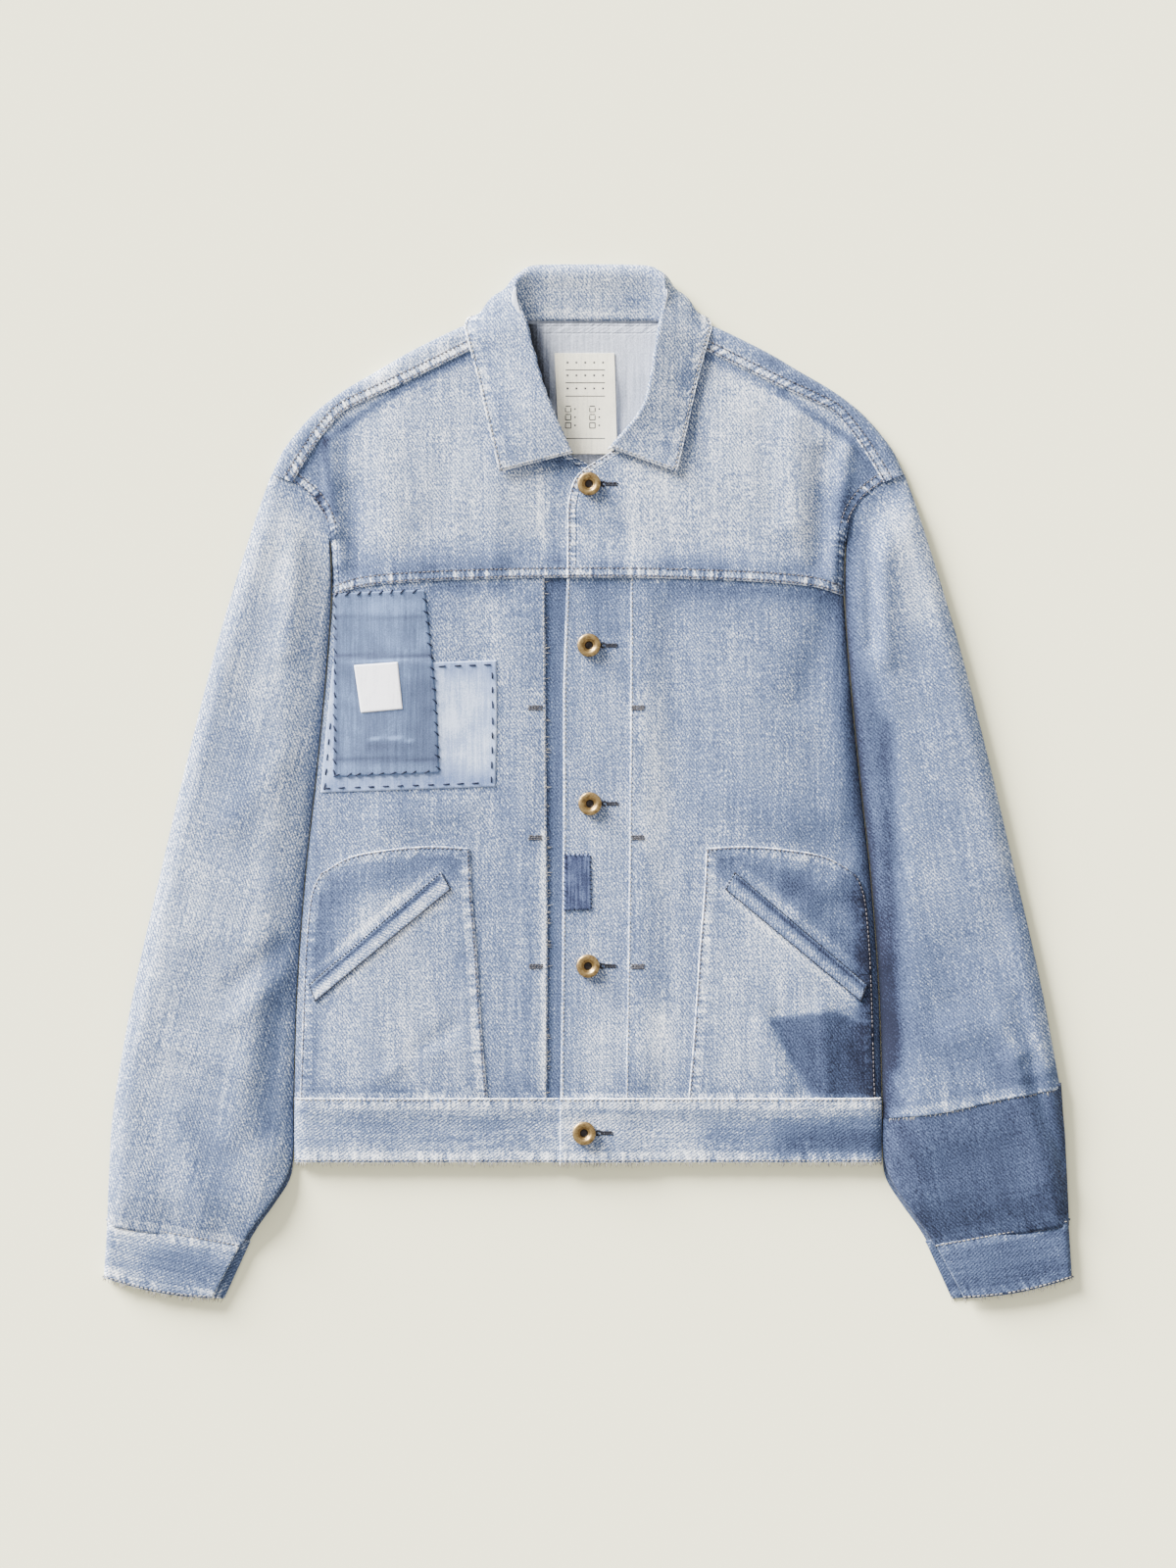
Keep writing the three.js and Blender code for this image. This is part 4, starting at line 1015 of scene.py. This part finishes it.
pocketLeft = {
    # painted shade: the right edge and the dark strokes from x 150 to 208 are the shadowed groove beside the
    # sleeve
    **pocketOutline, "edges": {"right": (9, -0.38)}, "name": "pocketLeft", "node": "pocket_left",
    "tone": 0.77, "lies": ["frontLeft"],
    "marks": [(100, -58, 190, -84, 13, -0.17), (150, -80, 200, -136, 14, -0.17),
              (204, -85, 208, -168, 9, -0.24), (92, -130, 100, -210, 12, 0.02),
              (99, -80, 198, -163, 2.5, 0.11), (110, -61, 206, -142, 2.2, 0.12),
              (110, -56, 160, -60, 4, 0.05), (146, -176, 150, -226, 2.5, -0.05)],
    "stain": [(164, -231), (213, -231), (211, -181), (181, -167), (131, -173)], "stainTone": -0.36,
}
pocketRight = {
    **mirrored(pocketOutline), "name": "pocketRight", "node": "pocket_right", "tone": 0.765,
    "lies": ["frontRight"],
    "marks": [(-100, -58, -180, -76, 13, -0.14), (-190, -90, -200, -150, 13, -0.16),
              (-202, -170, -205, -225, 6, -0.07), (-120, -200, -150, -160, 26, 0.01),
              (-99, -80, -198, -163, 2.5, 0.10), (-110, -61, -206, -142, 2.2, 0.12),
              (-130, -228, -200, -226, 6, -0.05)],
}
weltLeft = {**weltOutline, "name": "weltLeft", "node": "welt_left", "tone": 0.66, "grain": -40,
            "lies": ["pocketLeft"],
            "marks": [(109, -70, 204, -151.5, 1.3, -0.32), (104, -74, 200, -156, 2.2, 0.08)]}
weltRight = {**mirrored(weltOutline), "name": "weltRight", "node": "welt_right", "tone": 0.735, "grain": 40,
             "lies": ["pocketRight"], "marks": [(-109, -70, -204, -151.5, 1.3, -0.32),
                                                (-104, -74, -200, -156, 2.2, 0.08)]}
for look in (pocketLeft, pocketRight, weltLeft, weltRight):
    frontPiece(look)
print("pockets laid")


# Patches and labels, each a small piece of thinner cloth.
def scrap(left, right, lift, name, node, slot, cloth, tone, lies, thick, **more):
    return {"left": left, "right": right, "bottom": [left[0], right[0]], "top": [left[-1], right[-1]],
            "step": 2.4,
            "hems": ["left", "right", "top", "bottom"], "seams": ["left", "right", "top", "bottom"],
            "pucker": 0.2,
            "rims": ["left", "right", "top", "bottom"], "lift": lift, "name": name, "node": node,
            "slot": slot,
            "cloth": cloth, "tone": tone, "lies": lies, "thick": thick, **more}


patchLight = scrap(
    [(-196.2, -7.6), (-192, 40), (-187.4, 85.3)], [(-67.7, -3.2), (-66.6, 44), (-67, 89.6)], lambda x, y: 1.0,
    "patchLight", "patch_light", "patch_light", lightCloth, 0.80, ["frontRight"], 0.9,
    marks=[(-190, -2, -76, 2, 7, -0.08), (-100, 50, -84, 30, 20, 0.03), (-106, 84, -72, 84, 7, -0.05),
           (-107, 19, -90, 20, 0.9, 0.07), (-72, 84, -70, 0, 3, -0.03)])
patchBlue = scrap(
    [(-187, 4), (-186.5, 70), (-186.5, 138.5)], [(-108.7, 7), (-112, 70), (-119.5, 141)],
    lambda x, y: 1.1 + 1.1 * (1 - ease(86, 97, y)),
    "patchBlue", "patch_blue", "patch_blue", blueCloth, 0.61, ["patchLight"], 0.9,
    marks=[(-178, 128, -128, 130, 9, 0.06), (-178, 106, -124, 106, 9, 0.02),
           (-187, 121, -114, 121, 1.3, -0.08), (-187, 92.6, -112, 92.6, 1.6, -0.13),
           (-187, 89.4, -112, 89.4, 1.3, 0.10), (-124, 70, -120, 20, 12, -0.05),
           (-176, 60, -176, 24, 10, 0.03), (-187, 17, -109, 17, 1.6, -0.10), (-184, 10, -112, 11, 4, 0.04),
           (-161.5, 30.6, -149.3, 33.6, 0.9, 0.22), (-149.3, 33.6, -129, 30.8, 0.9, 0.22),
           (-160, 27, -130, 27.5, 3.5, -0.06), (-184, 130, -184, 10, 1.6, -0.06)])
labelChest = scrap(
    [(-166.3, 50.8), (-171.4, 86)], [(-135.4, 53.6), (-139, 88.2)], lambda x, y: 3.0,
    "labelChest", "label_chest", "label_white", whiteLabel, 0.90, ["patchBlue"], 0.6, pucker=0.05)
patchBand = scrap(
    [(-17.8, -93.6), (-17.6, -52.4)], [(2.6, -93.2), (2, -52.8)], lambda x, y: 2.6,
    "patchBand", "patch_band", "patch_indigo", indigoCloth, 0.44, ["bandLeft"], 0.9)
for look in (patchLight, patchBlue, labelChest, patchBand):
    frontPiece(look)

labelNeck = {
    "left": [(-21, 241), (-24.5, 315)], "right": [(21.5, 241), (19.4, 315)],
    "bottom": [(-21, 241), (21.5, 241)],
    "top": [(-24.5, 315), (19.4, 315)], "hems": ["left", "right", "top", "bottom"], "name": "labelNeck",
    "node": "label_neck", "slot": "label_cream", "cloth": creamLabel, "tone": 0.89, "lies": ["backPanel"],
    "thick": 0.6,
}


def layNeckLabel(look):
    flat = layFlat(look)
    z = 4.3 + 0.35 * np.sin(flat[..., 1] / 11) - (315 - flat[..., 1]) * 0.004
    return clothPiece(look, np.dstack([flat, z]))


layNeckLabel(labelNeck)
print("patches laid")


# Collar: seam, roll and outer edge from the middle of the back to the front end.
# The wearer's right is rolled further in.
collar = {
    "name": "collarCloth", "node": "collar", "slot": "denim_light", "cloth": denim, "thick": 1.6,
    "tone": 0.775,
    "seams": ["top"], "rims": ["top", "left", "right"], "lies": ["yokeLeft", "yokeRight", "backPanel"],
    "rows": {"top": [2.0], "left": [2.0], "right": [2.0]},
    "seam": [(0, 338.8, 3.2), (30, 338.8, 3.2), (46, 338.9, 3.7), (56.5, 336.8, 5.2), (61, 328, 5.8),
             (62, 318, 6), (58, 303, 6.2), (50, 284.5, 6.4), (37, 261.5, 6.6), (14.6, 244, 6.8)],
    "rollLeft": [(0, 379.1, 5), (28, 379.1, 5), (44, 378.1, 6), (51.5, 374.5, 9), (56.5, 367, 12.5),
                 (53, 340, 16.5), (49, 318, 17), (45, 292, 17), (38, 271, 16.5), (16, 244.5, 12)],
    "rollRight": [(0, 379.1, 5), (26, 379.1, 5), (41, 378.1, 6), (48.5, 373.6, 9), (53, 365, 12.5),
                  (45.5, 339, 16.5), (39.5, 316, 17), (33, 292, 17), (25, 270, 16.5), (12, 240.6, 12)],
    "edge": [(0, 324, 0.8), (30, 325, 0.8), (60, 328, 0.8), (84, 341.5, 0.9), (90.6, 334.6, 5.4),
             (88.6, 325.5, 9.4), (84.5, 310, 9.6), (79.5, 291, 9.8), (74, 266, 9.8), (65, 227, 9.6)],
    "standTop": [9, 9, 10, 12.5, 14.5, 15.5, 15.5, 15, 14, 11.5],
    "fallTop": [0.85, 0.85, 1.2, 3.5, 9.5, 15.5, 16, 16, 15.5, 11.6],
    "sewn": 1,
    # painted light: the light stroke from (72, 326) to (62, 250) brightens the leaf on the wearer's left,
    # which turns away from the light
    "marks": [(72, 326, 62, 250, 12, 0.05), (74, 300, 72, 262, 5, -0.08), (60, 250, 66, 236, 8, -0.05),
              (-58, 250, -64, 236, 10, 0), (-30, 344, 40, 344, 3, 0.07), (-24, 364, 36, 364, 9, 0.045),
              (30, 340, 40, 372, 7, -0.04)],
}


def between(a, b, share, z):
    return [*(a + (b - a) * share)[:2], z]


def collarGrid(look):
    sections = []
    for roll, sign in ((look["rollRight"], -1), (look["rollLeft"], 1)):
        half = []
        for k, point in enumerate(roll):
            seam, fold, edge = (np.array(p, float) for p in (look["seam"][k], point, look["edge"][k]))
            stand, fall = look["standTop"][k], look["fallTop"][k]
            keys = [seam, between(seam, fold, 0.5, (seam[2] + stand) / 2), between(seam, fold, 0.86, stand),
                    fold, between(fold, edge, 0.14, fall), between(fold, edge, 0.55, (fall + edge[2]) / 2),
                    edge]
            half.append(np.array([list(p) for p in keys]) * [sign, 1, 1])
        sections += half[:0:-1] if sign < 0 else half
    rows = np.stack([pointsAt(smoothLine(line, 20), np.linspace(0, 1, 190))
                     for line in np.stack(sections, 1)])
    vs = spacing(80, 1.8, "plain", "hem")
    grid = np.stack([pointsAt(smoothLine(column, 12), vs) for column in rows.transpose(1, 0, 2)], 1)
    relief = bodyRelief(grid[..., 0], grid[..., 1])
    grid[..., 2] = np.maximum(grid[..., 2], look["thick"] / 2) + np.maximum(relief, 0)
    return grid + normalsOf(grid) * look["thick"] / 2


clothPiece(collar, collarGrid(collar))
print("collar laid")


# Stitches: each a short thread that dips into the cloth at both ends.
random.seed(11)


# points and normals along a piece, this far from an edge
def edgeLine(name, side, distance, start=0.0, end=1.0):
    piece = pieces[name]
    grid, normal, gap = piece["grid"], piece["normal"], piece["gap"][side]
    if side in ("bottom", "top"):
        grid, normal, gap = grid.transpose(1, 0, 2), normal.transpose(1, 0, 2), gap.T
    if side in ("right", "top"):
        grid, normal, gap = grid[:, ::-1], normal[:, ::-1], gap[:, ::-1]
    both = np.concatenate([grid, normal], 2)
    line = np.stack([[np.interp(distance, far, row[:, k]) for k in range(6)] for far, row in zip(gap, both)])
    run = runLength(line[:, :3])
    inside = (run >= start * run[-1] - 1e-6) & (run <= end * run[-1] + 1e-6)
    return line[inside]


def stitchShape(look):  # rings along a thread: place, half width and height over the cloth
    rings = [(-0.5, 0.35, -0.8), (-0.3, 0.9, 0.45), (0.3, 0.9, 0.45), (0.5, 0.35, -0.8)]
    angles = np.linspace(0, 2 * math.pi, 6, endpoint=False)
    radius = look["width"] / 2
    points = [[at * look["length"], radius * wide * math.cos(a), radius * (high + 0.8 * wide * math.sin(a))]
              for at, wide, high in rings for a in angles]
    faces = [[6 * r + k, 6 * r + 6 + k, 6 * r + 6 + (k + 1) % 6, 6 * r + (k + 1) % 6] for r in range(3)
             for k in range(6)]
    return np.array(points), [face[::-1] for face in faces] + [[0, 1, 2, 3, 4, 5], [23, 22, 21, 20, 19, 18]]


def placeStitches(spots, look):  # spots: centre, direction, normal; all of them in one mesh
    shape0, faces0 = stitchShape(look)
    verts, faces = [], []
    for centre, along, up in spots:
        side = np.cross(up, along)
        wide = random.uniform(0.88, 1.12)
        verts.append(centre + shape0[:, :1] * along * random.uniform(0.9, 1.06) + shape0[:, 1:2] * side
                     * wide + shape0[:, 2:] * up)
        faces += [[q + 24 * (len(verts) - 1) for q in face] for face in faces0]
    return np.concatenate(verts), faces


def spotsAlong(line, look):  # evenly spaced along a line of points with normals
    run = runLength(line[:, :3])
    count = int(run[-1] / look["pitch"])
    spots = []
    for k in range(count):
        at = (k + 0.5) * look["pitch"] + random.uniform(-1, 1) * look.get("stray", 0.12)
        here, before, after = (np.array([np.interp(v, run, line[:, c]) for c in range(6)])
                               for v in (at, at - 0.6, at + 0.6))
        along, up = after[:3] - before[:3], here[3:] / np.linalg.norm(here[3:])
        along = along / np.linalg.norm(along)
        lean = math.radians(look.get("lean", 0.0) + random.uniform(-1, 1) * look.get("unevenness", 2.0))
        turned = along * math.cos(lean) + np.cross(up, along) * math.sin(lean)
        if random.random() > look.get("missing", 0.0):
            spots.append((here[:3] + up * 0.05, turned, up))
    return spots


def sewOn(name, spots, look):
    verts, faces = placeStitches(spots, look)
    item = newObject(name, verts, faces, look["thread"])
    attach(item, "root")
    return item


machineStitch = {"thread": ecruThread, "length": 2.5, "width": 0.8, "pitch": 3.3, "missing": 0.03}
seamStitch = {**machineStitch, "thread": dustyThread}
dustyPieces = ("yokeLeft", "yokeRight", "backPanel", "pocketLeft", "pocketRight")
stitchedPieces = sorted({name for name, side, distance in stitchRows})
for name in stitchedPieces:
    look = seamStitch if name in dustyPieces else machineStitch
    spots = []
    for _, side, distance in [row for row in stitchRows if row[0] == name]:
        line = edgeLine(name, side, distance)
        if name == "backPanel":  # only over the shoulders
            for half in (line[line[:, 0] > 64], line[line[:, 0] < -64]):
                spots += spotsAlong(half[half[:, 2] > 4], look)
        elif (name, side) in (("yokeLeft", "right"), ("yokeRight", "left")):
            spots += spotsAlong(line[line[:, 1] > 188], look)
        else:
            spots += spotsAlong(line, look)
    spots = [spot for spot in spots if spot[0][2] > 1.0]  # none on the side that lies on the table
    sewOn(name + "Stitches", spots, look)
print("seams sewn:", len(stitchedPieces), "pieces")


# Hand stitches in indigo thread about the patches.
def onto(names, line):  # height of the topmost of these pieces under each point of a line in plan
    spots = []
    for x, y in line:
        best = None
        for name in names:
            grid = pieces[name]["grid"]
            far = np.hypot(grid[..., 0] - x, grid[..., 1] - y)
            j, i = np.unravel_index(np.argmin(far), far.shape)
            if far[j, i] < 3.5 and (best is None or grid[j, i, 2] > best[0]):
                best = (grid[j, i, 2], pieces[name]["normal"][j, i])
        spots.append([x, y, best[0], *best[1]])
    return np.array(spots)


def straightLine(start, end, step=2.0):
    count = max(2, int(math.hypot(end[0] - start[0], end[1] - start[1]) / step))
    return [(start[0] + (end[0] - start[0]) * t, start[1] + (end[1] - start[1]) * t)
            for t in np.linspace(0, 1, count)]


runningStitch = {"thread": blueThread, "length": 6.0, "width": 1.35, "pitch": 11.0, "stray": 0.8,
                 "unevenness": 5.0}
overcastStitch = {"thread": blueThread, "length": 5.2, "width": 1.25, "pitch": 8.2, "stray": 0.9,
                  "lean": 52.0, "unevenness": 12.0}
denseOvercast = {"thread": blueThread, "length": 3.2, "width": 0.95, "pitch": 3.4, "stray": 0.5,
                 "lean": 80.0, "unevenness": 16.0}
sewOn("patchLightStitches", [spot for side, start, end in (("bottom", 0.0, 1.0), ("right", 0.0, 1.0),
                                                           ("top", 0.62, 1.0), ("left", 0.0, 0.62))
                             for spot in spotsAlong(edgeLine("patchLight", side, 3.8, start, end),
                                                    runningStitch)],
      runningStitch)
sewOn("patchBlueStitches", [spot for side in ("right", "top")
                            for spot in spotsAlong(edgeLine("patchBlue", side, 1.2), overcastStitch)]
      + [spot for side in ("bottom", "left") for spot in spotsAlong(edgeLine("patchBlue", side, 1.8),
          {**overcastStitch, "lean": 24.0})],
      overcastStitch)
sewOn("patchBandStitches", [spot for side in ("left", "right", "bottom", "top")
                            for spot in spotsAlong(edgeLine("patchBand", side, 0.8), denseOvercast)],
      denseOvercast)


# Dark outline sewn round each pocket welt; the pale ridge of the seam allowance beside it is a light stroke
# in the pocket's marks.
weltStitch = {"thread": darkThread, "length": 2.6, "width": 1.0, "pitch": 2.5}
for name, slot in (("weltLeft", "denim_band"), ("weltRight", "denim_band")):
    spots = []
    for side in ("left", "right", "bottom", "top"):
        spots += spotsAlong(edgeLine(name, side, 0.9), weltStitch)
    sewOn(name + "Stitches", spots, weltStitch)


# Bar tacks on the pleats and worked buttonholes beside the buttons.
def tackSpots(x, y, names):
    spots = []
    for dy in (-1.3, 0.0, 1.3):
        spots += spotsAlong(onto(names, straightLine((x - 5.2, y + dy), (x + 5.2, y + dy), 1.0)), tackStitch)
    return spots


tackStitch = {"thread": greyThread, "length": 2.9, "width": 1.0, "pitch": 2.0, "unevenness": 30.0,
              "stray": 0.5}
tackHeights = (54.7, -40.3, -134.6)
sewOn("tacksLeft", [spot for y in tackHeights for spot in tackSpots(36.6, y, ["frontLeft"])], tackStitch)
sewOn("tacksRight", [spot for y in tackHeights for spot in tackSpots(-38.2, y, ["frontRight"])], tackStitch)

buttonSpots = [(0.7, 218.5), (0.7, 100.4), (1.4, -15.5), (0, -134.3), (-2.9, -256.5)]
holeStitch = {"thread": darkThread, "length": 2.0, "width": 0.9, "pitch": 0.9, "lean": 82.0,
              "unevenness": 14.0, "stray": 0.15}


def holeSpots(x, y, names):  # a keyhole: an eye by the button and two worked edges that meet in a tack
    eye = [(x + 10.6 + 1.7 * math.cos(a), y + 1.7 * math.sin(a))
           for a in np.linspace(0.5, 2 * math.pi - 0.5, 12)]
    spots = spotsAlong(onto(names, eye), holeStitch)
    for dy in (-0.75, 0.75):
        spots += spotsAlong(onto(names, straightLine((x + 12, y + dy), (x + 20.5, y + dy), 1.0)), holeStitch)
    spots += spotsAlong(onto(names, straightLine((x + 20.5, y - 1.6), (x + 20.5, y + 1.6), 0.8)),
                        {**holeStitch, "pitch": 1.4})
    return spots


sewOn("buttonholes", [spot for x, y in buttonSpots for spot in holeSpots(x, y,
    ["bandLeft", "yokeLeft", "waistLeft"])],
      holeStitch)
print("hand stitches and buttonholes sewn")


# Buttons: a brass ring with a hollow in its middle, modelled once and copied.
buttonLook = {"radius": 8.5, "rise": 3.6, "sides": 48,
              # narrowing, then rise or fall
              "steps": ((1.0, 0.5), (1.4, 0.2), (1.3, -0.5), (0.9, -1.3), (0.7, -0.2), (0.5, -1.2))}


def makeButton(look):
    bpy.ops.mesh.primitive_cylinder_add(vertices=look["sides"], radius=look["radius"] * mm,
                                        depth=look["rise"] * mm, location=(0, 0,
                                            (0.3 + look["rise"] / 2) * mm))
    button = bpy.context.object
    bpy.ops.object.mode_set(mode="EDIT")
    bpy.ops.mesh.select_mode(type="FACE")
    bpy.ops.mesh.select_all(action="DESELECT")
    bpy.ops.object.mode_set(mode="OBJECT")
    for face in button.data.polygons:
        face.select = face.normal.z > 0.9
    bpy.ops.object.mode_set(mode="EDIT")
    for narrow, rise in look["steps"]:
        bpy.ops.mesh.inset(thickness=narrow * mm, depth=rise * mm)
    button.data.materials.append(brass)
    button.data.materials.append(brassHollow)
    button.active_material_index = 1
    bpy.ops.object.material_slot_assign()
    bpy.ops.mesh.inset(thickness=0.4 * mm, depth=-0.6 * mm)
    bpy.ops.object.mode_set(mode="OBJECT")
    bevel = button.modifiers.new("softEdges", "BEVEL")
    bevel.width, bevel.segments, bevel.angle_limit = 0.35 * mm, 2, math.radians(35)
    bpy.ops.object.modifier_apply(modifier="softEdges")
    bpy.ops.object.transform_apply(location=True, rotation=True, scale=True)
    bpy.ops.object.shade_smooth_by_angle(angle=math.radians(40))
    button.select_set(False)
    return button


def setButton(button, number, x, y):  # the place goes into the mesh
    height = onto(["bandLeft", "yokeLeft", "waistLeft"], [(x, y)])[0, 2]
    button.name = "brassButton" + str(number)
    button.data.transform(Matrix.Translation((x * mm, y * mm, height * mm)))
    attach(button, "root")
    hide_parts("button_" + str(number))


model = makeButton(buttonLook)
buttons = [model] + [model.copy() for _ in buttonSpots[1:]]
for copied in buttons[1:]:
    copied.data = model.data.copy()
    bpy.context.collection.objects.link(copied)
for number, (button, (x, y)) in enumerate(zip(buttons, buttonSpots), 1):
    setButton(button, number, x, y)
print("buttons set")


# Plain marks printed on the neck label: rows of dots, rules and empty squares.
def printMarks(name, boxes, sheet):  # boxes: centre and half sizes in plan
    verts, faces = [], []
    for x, y, wide, tall in boxes:
        z = onto([sheet], [(x, y)])[0, 2]
        k = len(verts)
        for dz in (-0.05, 0.05):
            verts += [(x + sx * wide, y + sy * tall, z + dz) for sx,
                      sy in ((-1, -1), (1, -1), (1, 1), (-1, 1))]
        faces += [[k + q for q in face] for face in ((3, 2, 1, 0), (4, 5, 6, 7), (0, 1, 5, 4), (1, 2, 6, 5),
                                                     (2, 3, 7, 6), (3, 0, 4, 7))]
    item = newObject(name, verts, faces, printInk, smooth=False)
    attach(item, "root")


def emptySquare(x, y, half, line):
    return [(x, y + half, half, line), (x, y - half, half, line), (x - half, y, line, half),
            (x + half, y, line, half)]


neckMarks = [(x, y, 0.7, 0.7) for y in (308, 298.6, 289) for x in (-15, -8.5, -2, 4.5, 11)]
neckMarks += [(-2, y, 14.5, 0.34) for y in (302.6, 293.2, 283.4, 252.4)]
neckMarks += [mark for y in (274, 268, 262) for x in (-14.5, 3.2) for mark in emptySquare(x, y, 2.0, 0.36)]
neckMarks += [(x + 5, y, 0.6, 0.6) for y in (274, 268, 262) for x in (-14.5, 3.2)]
printMarks("labelNeckPrint", neckMarks, "labelNeck")
print("labels printed")


# Frayed threads at worn edges.
frayLook = {"length": (1.2, 4.2), "width": 0.3, "thread": ecruThread}


def frayAlong(name, line, outward, density, look):
    run = runLength(line[:, :3])
    verts, faces = [], []
    for k in range(int(run[-1] * density)):
        clump = 0.5 + 0.5 * math.sin(run[-1] * k * 0.013 + 3 * math.sin(k * 0.07))
        if random.random() > 0.25 + 0.75 * clump:
            continue
        at = random.uniform(0, run[-1])
        start = np.array([np.interp(at, run, line[:, c]) for c in range(3)])
        length, bend = random.uniform(*look["length"]), random.uniform(-1.3, 1.3)
        base = len(verts)
        for t, wide in ((0, 1.0), (0.5, 0.8), (1.0, 0.3)):
            centre = start + np.array([outward[0] * length * t + outward[1] * bend * t * t,
                                       outward[1] * length * t + outward[0] * bend * t * t, -0.4 * t])
            for dx, dz in ((-1, 0), (1, 0), (0, 1)):
                verts.append(centre + np.array([dx * outward[1], dx * outward[0], dz]) * look["width"] * wide)
        for r in (0, 3):
            faces += [[base + r + k, base + r + (k + 1) % 3, base + r + 3 + (k + 1) % 3, base + r + 3 + k]
                      for k in range(3)]
        faces += [[base + 2, base + 1, base], [base + 6, base + 7, base + 8]]
    return verts, faces


def makeFray(name, runs, look=frayLook):
    verts, faces = [], []
    for piece, side, distance, outward, density in runs:
        more, moreFaces = frayAlong(piece, edgeLine(piece, side, distance), outward, density, look)
        faces += [[q + len(verts) for q in face] for face in moreFaces]
        verts += more
    item = newObject(name, verts, faces, look["thread"])
    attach(item, "root")


makeFray("hemFray", [("waistLeft", "bottom", 0.6, (0.05, -1), 1.1),
                     ("waistRight", "bottom", 0.6, (0.05, -1), 1.1)])
makeFray("cuffFray", [("cuffRight", "bottom", 0.6, (-0.15, -1), 1.0),
                      ("cuffLeft", "bottom", 0.6, (0.15, -1), 0.5)])
makeFray("edgeFray", [("sleeveLeftUpper", "bottom", 0.4, (0.1, -1), 0.8),
                      ("frontRight", "right", 0.4, (1, 0.1), 0.35)])
print("frayed edges added")


# Floor, light and camera.
stageLook = {"floor": (254, 249, 212), "sun": 26.6, "sunSoftness": 30, "slant": (-43, -68), "sky": 1.0,
             "distance": 2.72}


def makeStage(look):
    bpy.ops.mesh.primitive_plane_add(size=24, location=(0, 0, -0.0004))
    floor = bpy.context.object
    floor.name = "floor"
    n = Nodes("paleFloor", 0.95, Specular_IOR_Level=0.1)
    floor.data.materials.append(n.done(linear(*look["floor"])))
    sun = bpy.data.objects.new("softSun", bpy.data.lights.new("softSun", "SUN"))
    sun.data.energy, sun.data.angle = look["sun"], math.radians(look["sunSoftness"])
    sun.rotation_euler = (math.radians(look["slant"][0]), math.radians(look["slant"][1]), 0)
    bpy.context.collection.objects.link(sun)
    world = bpy.data.worlds.new("paleRoom")
    world.use_nodes = True
    world.node_tree.nodes["Background"].inputs["Color"].default_value = (1.0, 1.0, 1.0, 1)
    world.node_tree.nodes["Background"].inputs["Strength"].default_value = look["sky"]
    bpy.context.scene.world = world
    camera = bpy.data.objects.new("camera", bpy.data.cameras.new("camera"))
    camera.data.lens, camera.data.sensor_width = 85, 36
    camera.location = (0, -0.0011, look["distance"])
    bpy.context.collection.objects.link(camera)
    bpy.context.scene.camera = camera


makeStage(stageLook)
